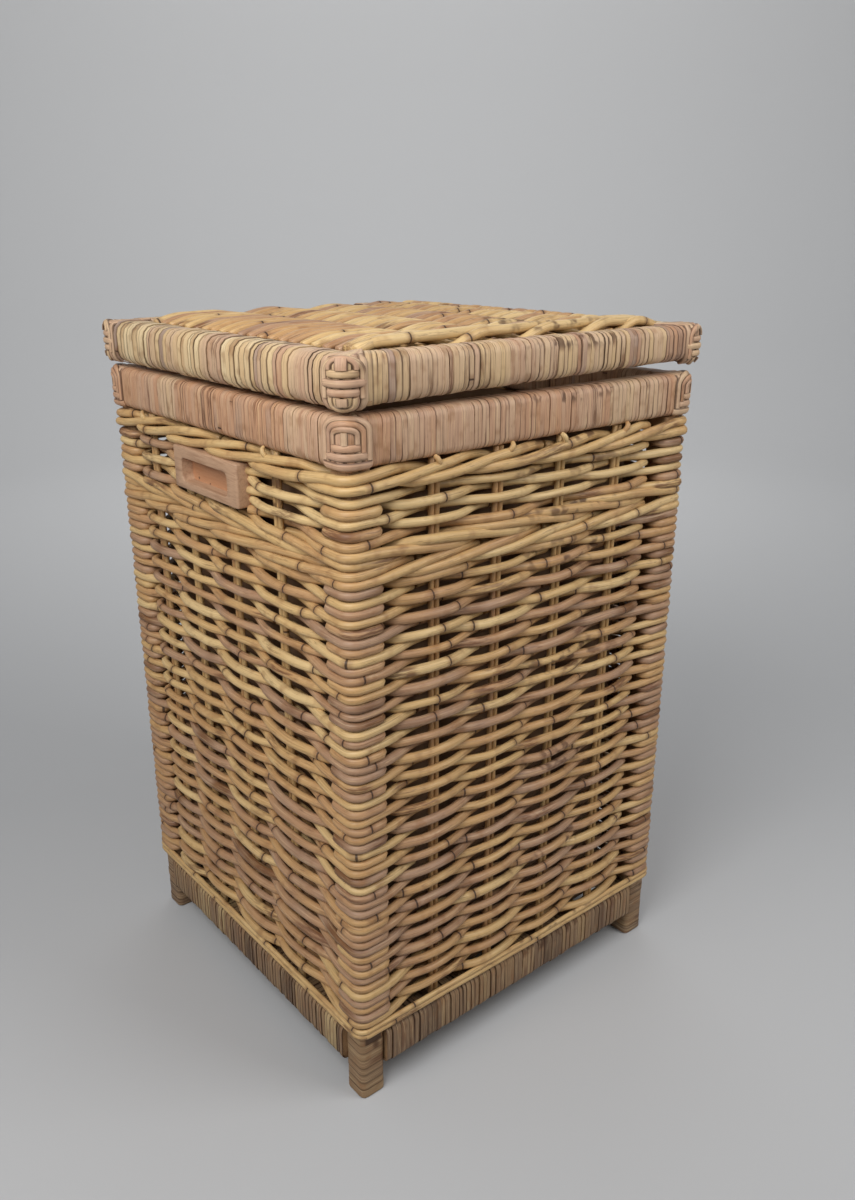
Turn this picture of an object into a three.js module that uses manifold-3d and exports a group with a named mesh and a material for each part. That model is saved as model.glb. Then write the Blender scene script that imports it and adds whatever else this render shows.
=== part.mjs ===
// A square laundry hamper of woven rattan cane with a hinged lid, in millimetres.
//
// The frame is wooden: four corner posts that run down into short feet, four base rails
// between them and four mitred rim rails on top. Every rail and foot is wound with split
// cane. Pairs of upright stakes stand between base and rim, and the wall weave fills the
// space between posts and stakes. A grooved wooden handle sits in each side wall. A dark cloth
// liner stands inside. The lid is a mitred frame wound with cane, with a woven panel on ribs,
// bound to the rim at the back.
//
// +Z is up, the floor is z = 0, the origin is the middle of the footprint. The front is -Y.

import * as THREE from "three";
import { mergeVertices } from "three/addons/utils/BufferGeometryUtils.js";
import Module from "manifold-3d";

const wasm = await Module();
wasm.setup();

// ---- driving dimensions ----------------------------------------------------------------

const GAP = 0.3;                // clearance between touching pieces

const WALL_OUTER = 197;         // outer face of the weave, from the middle
const WALL_THICKNESS = 20;      // weaver in front, stake, weaver behind
const POST_SIZE = 22;           // square corner post
const POST_OUTER = 190;         // outer face of a post, from the middle
const POST_ROUND = 3;

const WIND_THICKNESS = 2.5;     // one layer of split cane
const RAIL_WIDTH = 27;          // a wound rail, from its outer to its inner face
const BASE_BOTTOM = 28;
const BASE_TOP = 68;
const RIM_OUTER = 195.5;
const RIM_BOTTOM = 573;
const RIM_TOP = 612;
const RAIL_ROUND = 7;           // corner radius of a wound rail

const FOOT_WIND_BOTTOM = 1;     // the winding stops just above the floor

const LID_OUTER = 199;          // front and side faces of the lid
const LID_BACK = 195.5;         // the back face is flush with the rim
const LID_SIDE_WIDTH = 37;      // the side rails also bind the ends of the weave
const LID_BOTTOM = 620;
const LID_LEFT_BOTTOM = 614.5;  // the left rail is wound thicker and carries the closed lid
const LID_TOP = 655.5;
const LID_ROUND = 9;
const LID_WEAVE_BOTTOM = 642;
const LID_WEAVE_EDGE = 655;     // top of the weave where it leaves the side rails
const LID_WEAVE_SHOULDER = 661;
const LID_WEAVE_CROWN = 664;
const LID_SHOULDER_AT = 135;

const STAKE_WIDTH = 10;         // two canes side by side
const STAKE_THICKNESS = 4.6;
const FRONT_STAKES = [-107, -40, 32, 103];
const BACK_STAKES = [-105, -35, 35, 105];
const SIDE_STAKES = [-90, -15, 61, 128];

const HANDLE_AT = 8;            // middle of the handle, towards the back
const HANDLE_LENGTH = 112;
const HANDLE_BOTTOM = 518;
const HANDLE_TOP = 556;
const HANDLE_OUTER = 200;
const HANDLE_INNER = 177.5;
const HANDLE_EASE = 2;
const GRIP_AT = 9.5;
const GRIP_LENGTH = 81;
const GRIP_BOTTOM = 525;
const GRIP_TOP = 546;
const GRIP_DEPTH = 11.6;
const GRIP_ROUND = 6;

const FLOOR_BOTTOM = 52;
const FLOOR_THICKNESS = 12;

const LINER_OUTER = 169;        // outer face of the cloth, from the middle
const LINER_THICKNESS = 2;
const LINER_ROUND = 45;         // it passes well inside the posts

const RIB_SIZE = 6;
const RIBS_AT = [-106, -36, 36, 106];
const RIB_MIDDLE = 651;

const HINGE_AT = [-100, 100];
const HINGE_WIDTH = 18;
const HINGE_THICKNESS = 3;
const HINGE_BOTTOM = 590;
const HINGE_TOP = 640;

const WALL_BOTTOM = BASE_TOP + GAP;
const WALL_TOP = RIM_BOTTOM - GAP;
const WALL_INNER = WALL_OUTER - WALL_THICKNESS;
const POST_INNER = POST_OUTER - POST_SIZE;
const FOOT_INNER = POST_INNER - WIND_THICKNESS;

// ---- materials -------------------------------------------------------------------------

const finish = (color, roughness) => new THREE.MeshStandardMaterial({ color, roughness, metalness: 0 });
const frameWood = () => finish(0x9a7451, 0.75);
const windingCane = () => finish(0xb08f70, 0.55);
const weaveCane = () => finish(0xb4966a, 0.5);
const handleWood = () => finish(0x8e6c53, 0.6);
const linerCloth = () => finish(0x4a3d34, 0.9);

// ---- geometry helpers ------------------------------------------------------------------

const TURN_TO_X = new THREE.Matrix4().makeBasis(
  new THREE.Vector3(0, 1, 0),
  new THREE.Vector3(0, 0, 1),
  new THREE.Vector3(1, 0, 0),
);

function roundedRect(left, bottom, right, top, radius, Path = THREE.Shape) {
  const outline = new Path();
  outline.absarc(right - radius, bottom + radius, radius, -Math.PI / 2, 0);
  outline.absarc(right - radius, top - radius, radius, 0, Math.PI / 2);
  outline.absarc(left + radius, top - radius, radius, Math.PI / 2, Math.PI);
  outline.absarc(left + radius, bottom + radius, radius, Math.PI, 1.5 * Math.PI);
  outline.closePath();
  return outline;
}

function polygon(points) {
  return new THREE.Shape(points.map(([x, y]) => new THREE.Vector2(x, y)));
}

function plainExtrusion(shape, depth, curveSegments = 2) {
  return new THREE.ExtrudeGeometry(shape, { depth, bevelEnabled: false, curveSegments });
}

function upright(shape, bottom, top) {
  return plainExtrusion(shape, top - bottom).translate(0, 0, bottom);
}

// A bar along X whose section is drawn in (Y, Z). startAt and endAt give the X of each end
// for a given Y, which makes square or mitred ends.
function barAlongX(section, startAt, endAt) {
  const bar = plainExtrusion(section, 1).applyMatrix4(TURN_TO_X);
  const place = bar.getAttribute("position");
  for (let i = 0; i < place.count; i += 1) {
    const endOf = place.getX(i) < 0.5 ? startAt : endAt;
    place.setX(i, endOf(place.getY(i)));
  }
  return bar;
}

function solidOf(geometry) {
  const bare = geometry.clone();
  bare.deleteAttribute("normal");
  bare.deleteAttribute("uv");
  const merged = mergeVertices(bare, 1e-4);
  return new wasm.Manifold(new wasm.Mesh({
    numProp: 3,
    vertProperties: new Float32Array(merged.getAttribute("position").array),
    triVerts: new Uint32Array(merged.getIndex().array),
  }));
}

function geometryOf(solid) {
  const mesh = solid.getMesh();
  const geometry = new THREE.BufferGeometry();
  geometry.setAttribute("position", new THREE.BufferAttribute(mesh.vertProperties, 3));
  geometry.setIndex(new THREE.BufferAttribute(mesh.triVerts, 1));
  geometry.computeVertexNormals();
  return geometry;
}

function cutFrom(geometry, ...cutters) {
  let solid = solidOf(geometry);
  for (const cutter of cutters) {
    solid = solid.subtract(solidOf(cutter));
  }
  return geometryOf(solid);
}

function box(low, high) {
  const size = high.map((value, axis) => value - low[axis]);
  const middle = high.map((value, axis) => (value + low[axis]) / 2);
  return new THREE.BoxGeometry(...size).translate(...middle);
}

// ---- the hamper, built as a tree of named meshes -----------------------------------------

const hamper = new THREE.Group();
const lid = new THREE.Group();
hamper.add(lid);

function addPiece(parent, name, geometry, material, turn = 0) {
  const mesh = new THREE.Mesh(geometry, material);
  mesh.name = name;
  mesh.rotation.z = turn;
  parent.add(mesh);
}

// Every side is drawn as the front one and turned into place.
const QUARTER = Math.PI / 2;
const SIDES = [
  { name: "front", turn: 0, reach: WALL_OUTER, stakes: FRONT_STAKES },
  { name: "right", turn: QUARTER, reach: WALL_INNER - GAP, stakes: SIDE_STAKES, handle: 1 },
  { name: "back", turn: 2 * QUARTER, reach: WALL_OUTER, stakes: BACK_STAKES },
  { name: "left", turn: -QUARTER, reach: WALL_INNER - GAP, stakes: SIDE_STAKES.map((at) => -at), handle: -1 },
];
const CORNERS = [
  { name: "front_left", turn: 0 },
  { name: "front_right", turn: QUARTER },
  { name: "back_right", turn: 2 * QUARTER },
  { name: "back_left", turn: -QUARTER },
];

// A rail and its winding share one rounded section, the rail inside the winding.
function railSection(inner, outer, bottom, top, round) {
  const inset = WIND_THICKNESS + GAP;
  return roundedRect(-outer + inset, bottom + inset, -inner - inset, top - inset, round - inset);
}

function windingSection(inner, outer, bottom, top, round) {
  const section = roundedRect(-outer, bottom, -inner, top, round);
  const inset = WIND_THICKNESS;
  section.holes.push(
    roundedRect(-outer + inset, bottom + inset, -inner - inset, top - inset, round - inset, THREE.Path),
  );
  return section;
}

// ---- posts, feet and base ----------------------------------------------------------------

function cornerPost() {
  return upright(roundedRect(-POST_OUTER, -POST_OUTER, -POST_INNER, -POST_INNER, POST_ROUND), 0, WALL_TOP);
}

function footWinding() {
  const outer = POST_OUTER + WIND_THICKNESS + GAP;
  const inner = POST_INNER - WIND_THICKNESS;
  const section = roundedRect(-outer, -outer, -inner, -inner, POST_ROUND + WIND_THICKNESS);
  section.holes.push(roundedRect(
    -POST_OUTER - GAP, -POST_OUTER - GAP, -POST_INNER + GAP, -POST_INNER + GAP, POST_ROUND + GAP, THREE.Path,
  ));
  return upright(section, FOOT_WIND_BOTTOM, BASE_TOP - GAP);
}

for (const { name, turn } of CORNERS) {
  addPiece(hamper, `corner_post_${name}`, cornerPost(), frameWood(), turn);
  addPiece(hamper, `foot_winding_${name}`, footWinding(), windingCane(), turn);
}

const BASE_REACH = FOOT_INNER - GAP;
for (const { name, turn } of SIDES) {
  const size = [WALL_OUTER - RAIL_WIDTH, WALL_OUTER, BASE_BOTTOM, BASE_TOP, RAIL_ROUND];
  const ends = [() => -BASE_REACH, () => BASE_REACH];
  addPiece(hamper, `base_rail_${name}`, barAlongX(railSection(...size), ...ends), frameWood(), turn);
  addPiece(hamper, `base_winding_${name}`, barAlongX(windingSection(...size), ...ends), windingCane(), turn);
}

function floorPanel() {
  const wide = WALL_OUTER - RAIL_WIDTH - GAP;
  const narrow = FOOT_INNER - GAP;
  const outline = polygon([
    [-narrow, -wide], [narrow, -wide], [narrow, -narrow], [wide, -narrow],
    [wide, narrow], [narrow, narrow], [narrow, wide], [-narrow, wide],
    [-narrow, narrow], [-wide, narrow], [-wide, -narrow], [-narrow, -narrow],
  ]);
  return upright(outline, FLOOR_BOTTOM, FLOOR_BOTTOM + FLOOR_THICKNESS);
}

addPiece(hamper, "floor_panel", floorPanel(), weaveCane());

// ---- liner ---------------------------------------------------------------------------------

// An open bag with rounded corners, from the floor panel up to the rim.
function linerBag() {
  const bottom = FLOOR_BOTTOM + FLOOR_THICKNESS + GAP;
  const square = (reach, round) => roundedRect(-reach, -reach, reach, reach, round);
  const outside = plainExtrusion(square(LINER_OUTER, LINER_ROUND), WALL_TOP - bottom, 6);
  const inside = plainExtrusion(
    square(LINER_OUTER - LINER_THICKNESS, LINER_ROUND - LINER_THICKNESS), WALL_TOP - bottom, 6,
  );
  return cutFrom(outside.translate(0, 0, bottom), inside.translate(0, 0, bottom + LINER_THICKNESS));
}

addPiece(hamper, "liner", linerBag(), linerCloth());

// ---- rim -----------------------------------------------------------------------------------

function mitredEnds(inner, outer, startInner, startOuter, endInner, endOuter) {
  const along = (y) => (-y - inner) / (outer - inner);
  const startAt = (y) => -(startInner + along(y) * (startOuter - startInner)) + GAP / 1.4;
  const endAt = (y) => endInner + along(y) * (endOuter - endInner) - GAP / 1.4;
  return [startAt, endAt];
}

const RIM_INNER = RIM_OUTER - RAIL_WIDTH;
for (const { name, turn } of SIDES) {
  const size = [RIM_INNER, RIM_OUTER, RIM_BOTTOM, RIM_TOP, RAIL_ROUND];
  const ends = mitredEnds(RIM_INNER, RIM_OUTER, RIM_INNER, RIM_OUTER, RIM_INNER, RIM_OUTER);
  addPiece(hamper, `rim_rail_${name}`, barAlongX(railSection(...size), ...ends), frameWood(), turn);
  addPiece(hamper, `rim_winding_${name}`, barAlongX(windingSection(...size), ...ends), windingCane(), turn);
}

// ---- walls, stakes and handles -------------------------------------------------------------

// Two round canes side by side, drawn as one outline with a waist. With a clearance it is
// the channel that the stake stands in.
function stakeOutline(at, clearance, Path) {
  const middle = -WALL_OUTER + WALL_THICKNESS / 2;
  const apart = (STAKE_WIDTH - STAKE_THICKNESS) / 2;
  const lobe = STAKE_THICKNESS / 2 + clearance;
  const outline = new Path();
  outline.absarc(at + apart, middle, lobe, -0.75 * Math.PI, 0.75 * Math.PI);
  outline.absarc(at - apart, middle, lobe, 0.25 * Math.PI, 1.75 * Math.PI);
  outline.closePath();
  return outline;
}

// The wall's plan: a strip with a recess for each post, and a channel for each stake.
function wallPanel({ reach, stakes, handle }) {
  const far = POST_OUTER + GAP;
  const near = POST_INNER - GAP;
  const end = reach > far ? [[reach, -WALL_INNER], [far, -WALL_INNER], [far, -far]] : [[reach, -far]];
  const right = [[reach, -WALL_OUTER], ...end, [near, -far], [near, -WALL_INNER]];
  const left = right.map(([x, y]) => [-x, y]).reverse();
  const plan = polygon([...right, ...left]);
  plan.holes.push(...stakes.map((at) => stakeOutline(at, GAP, THREE.Path)));
  const wall = upright(plan, WALL_BOTTOM, WALL_TOP);
  if (!handle) {
    return wall;
  }
  const middle = HANDLE_AT * handle;
  const half = HANDLE_LENGTH / 2 + GAP;
  return cutFrom(wall, box(
    [middle - half, -WALL_OUTER - 5, HANDLE_BOTTOM - GAP],
    [middle + half, -WALL_INNER + 5, HANDLE_TOP + GAP],
  ));
}

// A block with eased edges and a blind finger groove in its outer face.
function handleBlock(side) {
  const middle = HANDLE_AT * side;
  const half = HANDLE_LENGTH / 2 - HANDLE_EASE;
  const face = roundedRect(
    middle - half, HANDLE_BOTTOM + HANDLE_EASE, middle + half, HANDLE_TOP - HANDLE_EASE, HANDLE_EASE,
  );
  const block = new THREE.ExtrudeGeometry(face, {
    depth: HANDLE_OUTER - HANDLE_INNER - 2 * HANDLE_EASE,
    bevelThickness: HANDLE_EASE,
    bevelSize: HANDLE_EASE,
    bevelSegments: 2,
    curveSegments: 3,
  });
  block.rotateX(QUARTER);
  block.translate(0, -HANDLE_INNER - HANDLE_EASE, 0);
  const grip = GRIP_AT * side;
  const groove = plainExtrusion(
    roundedRect(grip - GRIP_LENGTH / 2, GRIP_BOTTOM, grip + GRIP_LENGTH / 2, GRIP_TOP, GRIP_ROUND),
    2 * GRIP_DEPTH,
  );
  groove.rotateX(QUARTER);
  groove.translate(0, -HANDLE_OUTER + GRIP_DEPTH, 0);
  return cutFrom(block, groove);
}

for (const side of SIDES) {
  addPiece(hamper, `wall_weave_${side.name}`, wallPanel(side), weaveCane(), side.turn);
  side.stakes.forEach((at, index) => {
    const handleMiddle = HANDLE_AT * (side.handle ?? 0);
    const underHandle = side.handle && Math.abs(at - handleMiddle) < HANDLE_LENGTH / 2;
    const top = underHandle ? HANDLE_BOTTOM - GAP : WALL_TOP;
    const stake = upright(stakeOutline(at, 0, THREE.Shape), WALL_BOTTOM, top);
    addPiece(hamper, `stake_${side.name}_${index + 1}`, stake, weaveCane(), side.turn);
  });
  if (side.handle) {
    addPiece(hamper, `handle_${side.name}`, handleBlock(side.handle), handleWood(), side.turn);
  }
}

// ---- lid -----------------------------------------------------------------------------------

const LID_INNER = LID_OUTER - RAIL_WIDTH;
const LID_SIDE_INNER = LID_OUTER - LID_SIDE_WIDTH;
const LID_BACK_INNER = LID_BACK - RAIL_WIDTH;

// Each lid side: its own faces, then the mitre line at its start and at its end, each from
// the inner to the outer corner of the frame.
const toSide = [LID_SIDE_INNER, LID_OUTER];
const toFront = [LID_INNER, LID_OUTER];
const toBack = [LID_BACK_INNER, LID_BACK];
const LID_SIDES = {
  front: { faces: toFront, start: toSide, end: toSide, bottom: LID_BOTTOM },
  right: { faces: toSide, start: toFront, end: toBack, bottom: LID_BOTTOM },
  back: { faces: toBack, start: toSide, end: toSide, bottom: LID_BOTTOM },
  left: { faces: toSide, start: toBack, end: toFront, bottom: LID_LEFT_BOTTOM },
};

for (const { name, turn } of SIDES) {
  const { faces, start, end, bottom } = LID_SIDES[name];
  const ends = mitredEnds(...faces, ...start, ...end);
  const size = [...faces, bottom, LID_TOP, LID_ROUND];
  addPiece(lid, `lid_rail_${name}`, barAlongX(railSection(...size), ...ends), frameWood(), turn);
  addPiece(lid, `lid_winding_${name}`, barAlongX(windingSection(...size), ...ends), windingCane(), turn);
}

// The woven panel is crowned across its width, with a channel along Y for each rib.
function lidWeave() {
  const reach = LID_SIDE_INNER - GAP;
  const half = [
    [reach, LID_WEAVE_BOTTOM], [reach, LID_WEAVE_EDGE],
    [LID_SHOULDER_AT, LID_WEAVE_SHOULDER], [LID_SHOULDER_AT / 2, LID_WEAVE_CROWN - 1],
  ];
  const mirrored = half.map(([x, z]) => [-x, z]).reverse();
  const section = polygon([...half, [0, LID_WEAVE_CROWN], ...mirrored]);
  const channel = RIB_SIZE / 2 + GAP;
  for (const at of RIBS_AT) {
    section.holes.push(roundedRect(
      at - channel, RIB_MIDDLE - channel, at + channel, RIB_MIDDLE + channel, GAP, THREE.Path,
    ));
  }
  const depth = LID_INNER + LID_BACK_INNER - 3 * GAP - RIB_SIZE;
  const panel = plainExtrusion(section, depth);
  panel.rotateX(QUARTER);
  return panel.translate(0, depth - LID_INNER + GAP, 0);
}

// The ribs are joined behind the panel by a cross cane, like the teeth of a comb.
function ribComb() {
  const half = RIB_SIZE / 2;
  const front = -LID_INNER + GAP;
  const back = LID_BACK_INNER - GAP;
  const teeth = RIBS_AT.flatMap((at) => [
    [at - half, back - RIB_SIZE], [at - half, front], [at + half, front], [at + half, back - RIB_SIZE],
  ]);
  const ends = [[RIBS_AT.at(-1) + half, back], [RIBS_AT[0] - half, back]];
  return upright(polygon([...teeth.slice(1, -1), ...ends]), RIB_MIDDLE - half, RIB_MIDDLE + half);
}

addPiece(lid, "lid_weave", lidWeave(), weaveCane());
addPiece(lid, "lid_ribs", ribComb(), weaveCane());

// ---- hinge bindings ------------------------------------------------------------------------

// A flat binding of cane over the back of the rim and the back of the lid, which bends
// between the two when the lid opens.
HINGE_AT.forEach((at, index) => {
  const binding = upright(
    roundedRect(
      at - HINGE_WIDTH / 2, RIM_OUTER + GAP, at + HINGE_WIDTH / 2, RIM_OUTER + GAP + HINGE_THICKNESS, 1,
    ),
    HINGE_BOTTOM,
    HINGE_TOP,
  );
  addPiece(hamper, `hinge_binding_${["left", "right"][index]}`, binding, windingCane());
});

export default hamper;
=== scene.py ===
# %% [markdown]
# A square laundry hamper of woven cane. The wooden frame, the joints and every size come from
# the CAD frame. This script makes what gives the hamper its look: round cane woven over upright
# stakes, split cane wound round the rails and feet, plaited corner caps, and wood with a grain.
# Everything is in metres, +Z up, with the front of the hamper towards -Y.

# %% Load the frame
import math
import random

import bpy
import numpy as np
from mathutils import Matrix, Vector, noise


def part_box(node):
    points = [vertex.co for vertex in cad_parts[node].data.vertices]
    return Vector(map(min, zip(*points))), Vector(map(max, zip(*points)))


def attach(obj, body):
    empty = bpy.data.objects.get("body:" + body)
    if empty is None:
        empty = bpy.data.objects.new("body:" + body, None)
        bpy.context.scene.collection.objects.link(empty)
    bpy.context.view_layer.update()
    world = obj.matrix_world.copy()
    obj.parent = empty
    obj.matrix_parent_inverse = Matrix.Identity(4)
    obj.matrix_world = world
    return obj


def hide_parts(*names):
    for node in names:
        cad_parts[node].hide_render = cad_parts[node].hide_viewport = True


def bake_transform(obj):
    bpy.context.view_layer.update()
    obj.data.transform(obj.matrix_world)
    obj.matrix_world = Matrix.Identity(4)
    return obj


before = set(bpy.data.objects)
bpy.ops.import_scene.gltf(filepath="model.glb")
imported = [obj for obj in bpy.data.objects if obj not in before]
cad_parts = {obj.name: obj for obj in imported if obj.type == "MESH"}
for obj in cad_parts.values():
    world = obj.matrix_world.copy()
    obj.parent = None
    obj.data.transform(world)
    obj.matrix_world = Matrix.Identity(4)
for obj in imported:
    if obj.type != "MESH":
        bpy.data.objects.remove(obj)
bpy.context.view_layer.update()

MM = 0.001

# %% [markdown]
# The sizes that the weaver needs are read from the CAD nodes: where the wall's outer and inner
# faces are, where the posts stand, and where each stake stands. A side is drawn as if it were
# the front: `along` runs to the right as seen from outside, `out` is the distance from the
# middle of the hamper. `at_side` turns such a place into the hamper's own frame.

# %% Measures from the frame
SIDES = ("front", "right", "back", "left")
CORNERS = ("front_left", "front_right", "back_right", "back_left")
CORNER_SIGNS = ((-1, -1), (1, -1), (1, 1), (-1, 1))

wall_low, wall_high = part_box("wall_weave_front")
post_low, post_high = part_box("corner_post_front_left")
WALL_OUT, WALL_IN = -wall_low.y, -wall_high.y
WALL_MID = (WALL_OUT + WALL_IN) / 2
WALL_FOOT, WALL_HEAD = wall_low.z, wall_high.z
POST_OUT, POST_IN = -post_low.x, -post_high.x
HANDLE_LOW, HANDLE_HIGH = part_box("handle_left")


def clamp(value):
    return min(max(value, 0), 1)


def quarter_turns(count):
    """The cosine and sine of so many quarter turns."""
    return round(math.cos(count * math.pi / 2)), round(math.sin(count * math.pi / 2))


def at_side(side, along, out, z):
    """A place in the hamper's frame, or an array of places."""
    c, s = quarter_turns(SIDES.index(side))
    along, out, z = np.broadcast_arrays(along, out, z)
    return np.array((along * c + out * s, along * s - out * c, z)).T


def along_of(side, point):
    c, s = quarter_turns(SIDES.index(side))
    return point.x * c + point.y * s


STAKES = {}
for side in SIDES:
    boxes = [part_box(f"stake_{side}_{i}") for i in range(1, 5)]
    STAKES[side] = sorted((along_of(side, (low + high) / 2), high.z) for low, high in boxes)
print("stakes", {side: [round(a / MM) for a, _ in found] for side, found in STAKES.items()})

# %% [markdown]
# ## Writing shader maths as sums
# A material is a graph of nodes. `Wire` wraps one output of a node, so that `1 - mask` or
# `streak * 0.3 + tone` adds the Math nodes by itself. `make` adds any other kind of node: its
# settings first, then the values or wires of its inputs. Colours are mixed by `tint`.

# %% A small language for shaders
class Wire:
    def __init__(self, tree, socket):
        self.tree = tree
        self.socket = socket

    def make(self, kind, settings=None, inputs=None, output=0):
        node = self.tree.nodes.new(kind)
        for name, value in (settings or {}).items():
            if name == "stops":
                fill_ramp(node.color_ramp, value)
            else:
                setattr(node, name, value)
        for name, value in (inputs or {}).items():
            if isinstance(value, Wire):
                self.tree.links.new(value.socket, node.inputs[name])
            else:
                node.inputs[name].default_value = value
        return Wire(self.tree, node.outputs[output])

    def math(self, operation, first, second):
        return self.make("ShaderNodeMath", {"operation": operation}, {0: first, 1: second})

    def __add__(self, other):
        return self.math("ADD", self, other)

    def __sub__(self, other):
        return self.math("SUBTRACT", self, other)

    def __rsub__(self, other):
        return self.math("SUBTRACT", other, self)

    def __mul__(self, other):
        return self.math("MULTIPLY", self, other)

    __radd__ = __add__
    __rmul__ = __mul__

    def fade(self, start, end):
        """0 at start and below, 1 at end and above, with a soft rise."""
        settings = {"interpolation_type": "SMOOTHSTEP"}
        return self.make("ShaderNodeMapRange", settings, {"Value": self, "From Min": start, "From Max": end})

    def tint(self, colour, amount):
        """This colour, with that much of the other colour."""
        inputs = {0: amount, 6: self, 7: colour}
        return self.make("ShaderNodeMix", {"data_type": "RGBA"}, inputs, 2)

    def times(self, vector):
        inputs = {0: self, 1: vector}
        return self.make("ShaderNodeVectorMath", {"operation": "MULTIPLY"}, inputs)

    def noise(self, scale, detail=3.0, roughness=0.55):
        inputs = {"Vector": self, "Scale": scale, "Detail": detail, "Roughness": roughness}
        return self.make("ShaderNodeTexNoise", {}, inputs)

    def ramp(self, stops):
        return self.make("ShaderNodeValToRGB", {"stops": stops}, {"Fac": self})

    def attribute(self, name, output="Fac"):
        return self.make("ShaderNodeAttribute", {"attribute_name": name}, {}, output)


def fill_ramp(ramp, stops):
    while len(ramp.elements) < len(stops):
        ramp.elements.new(1.0)
    for element, (place, colour) in zip(ramp.elements, stops):
        element.position = place
        element.color = colour


def paint(red, green, blue):
    """A colour as a paint chart gives it, 0 to 255, made linear for the shader."""
    parts = [value / 255 for value in (red, green, blue)]
    return (*[p / 12.92 if p < 0.04 else ((p + 0.055) / 1.055) ** 2.4 for p in parts], 1.0)


def new_material(name):
    material = bpy.data.materials.new(name)
    material.use_nodes = True
    tree = material.node_tree
    shader = tree.nodes["Principled BSDF"]
    return material, shader, Wire(tree, shader.outputs[0])


def feed(shader, wire, name):
    wire.tree.links.new(wire.socket, shader.inputs[name])


def feed_bump(shader, height, strength, distance):
    inputs = {"Strength": strength, "Distance": distance, "Height": height}
    feed(shader, height.make("ShaderNodeBump", {}, inputs), "Normal")


# %% [markdown]
# ## Raw cane
# Rattan is a climbing palm. Whole thin stems, or the round core of thick ones, are woven damp.
# The colour differs from stem to stem, from straw yellow through tan to a greyish pink, and each
# stem has fine fibres along it, soft blotches, specks of dark skin, and a dark ring at each old
# leaf joint. An image would repeat and would not follow the cane, so the pattern is made from
# three attributes that every cane carries: `straight`, the place on the cane as if it were laid
# straight, `tone`, one number for the whole cane, and `joint`, the distance to the nearest ring.

# %% Cane materials
def cane_material(name, palette, fibre_stretch, streak_stretch, speck_scale, gloss, flat):
    material, shader, wire = new_material(name)
    straight = wire.attribute("straight", "Vector")
    tone = wire.attribute("tone")
    joint = wire.attribute("joint")
    fibres = straight.times(fibre_stretch).noise(1.0, 5.0, 0.65)
    blotches = straight.times((60, 60, 60)).noise(1.0, 2.0)
    patches = straight.times((16, 16, 16)).noise(1.0, 1.0)
    colour = (tone + (patches - 0.5) * (0.35 if flat else 0.75)).ramp(palette)
    streaks = straight.times(streak_stretch).noise(1.0, 3.0, 0.7)
    colour = colour.tint(paint(112, 78, 50), fibres.fade(0.50, 0.74) * 0.55)
    colour = colour.tint(paint(226, 198, 150), fibres.fade(0.50, 0.28) * 0.45)
    colour = colour.tint(paint(142, 98, 60), blotches.fade(0.52, 0.74) * 0.5)
    colour = colour.tint(paint(92, 58, 34), streaks.fade(0.58, 0.72) * 0.5)
    skin = straight.times((9, 9, 9)).noise(1.0, 1.0).fade(0.60, 0.66) * streaks.fade(0.40, 0.56)
    colour = colour.tint(paint(104, 66, 42), skin * 0.75)
    spots = straight.times(speck_scale).make("ShaderNodeTexVoronoi", {}, {"Scale": 1.0})
    spotted = spots.fade(0.24, 0.10) * blotches.fade(0.50, 0.62)
    colour = colour.tint(paint(70, 40, 22), spotted * 0.75)
    ring = joint.fade(0.0012, 0.0004)
    halo = joint.fade(0.006, 0.001)
    colour = colour.tint(paint(128, 88, 56), halo * 0.5)
    colour = colour.tint(paint(52, 30, 16), ring * 0.9)
    # Flat strips: painted shade, darker towards the sides of each strip, where it meets its neighbours.
    if flat:
        colour = colour.tint(paint(66, 42, 26), wire.attribute("edge").fade(0.45, 1.0) * 0.8)
    feed(shader, colour, "Base Color")
    feed(shader, gloss + fibres * 0.25 + spotted * 0.1, "Roughness")
    feed_bump(shader, fibres * 0.7 - spotted * 0.4 - ring * 1.2, 0.5, 0.6 * MM)
    shader.inputs["Specular IOR Level"].default_value = 0.4
    return material


ROUND_PALETTE = [
    (0.00, paint(214, 184, 132)),
    (0.30, paint(200, 164, 110)),
    (0.55, paint(186, 144, 96)),
    (0.75, paint(172, 132, 98)),
    (0.90, paint(166, 132, 106)),
    (1.00, paint(118, 80, 50)),
]
SPLIT_PALETTE = [
    (0.00, paint(224, 200, 158)),
    (0.20, paint(206, 174, 130)),
    (0.40, paint(200, 168, 136)),
    (0.55, paint(190, 152, 124)),
    (0.70, paint(188, 142, 108)),
    (0.86, paint(166, 142, 126)),
    (1.00, paint(132, 100, 76)),
]
round_cane = cane_material(
    "round_cane", ROUND_PALETTE, (1100, 1100, 30), (420, 420, 45), (330, 330, 150), 0.36, False)
split_cane = cane_material(
    "split_cane", SPLIT_PALETTE, (26, 26, 900), (45, 45, 700), (120, 120, 420), 0.42, True)

# Base and feet: a darker palette than the split strips above, painted shade for the lower part of the hamper
# near the floor.
BASE_SHADE_PALETTE = [
    (0.00, paint(178, 152, 110)),
    (0.30, paint(160, 132, 94)),
    (0.55, paint(146, 116, 84)),
    (0.80, paint(128, 102, 78)),
    (1.00, paint(92, 68, 48)),
]
shaded_base_cane = cane_material(
    "shaded_base_cane", BASE_SHADE_PALETTE, (26, 26, 900), (45, 45, 700), (120, 120, 420), 0.5, True)
print("cane materials ready")

# %% [markdown]
# ## Wood
# The handles are a close-grained brown hardwood, the frame is plain square stock. Wood grain is
# stretched noise: long along the piece and fine across it. The noise reads Object coordinates,
# and every piece sits at the origin, so the grain stays put when the piece moves.

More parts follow.
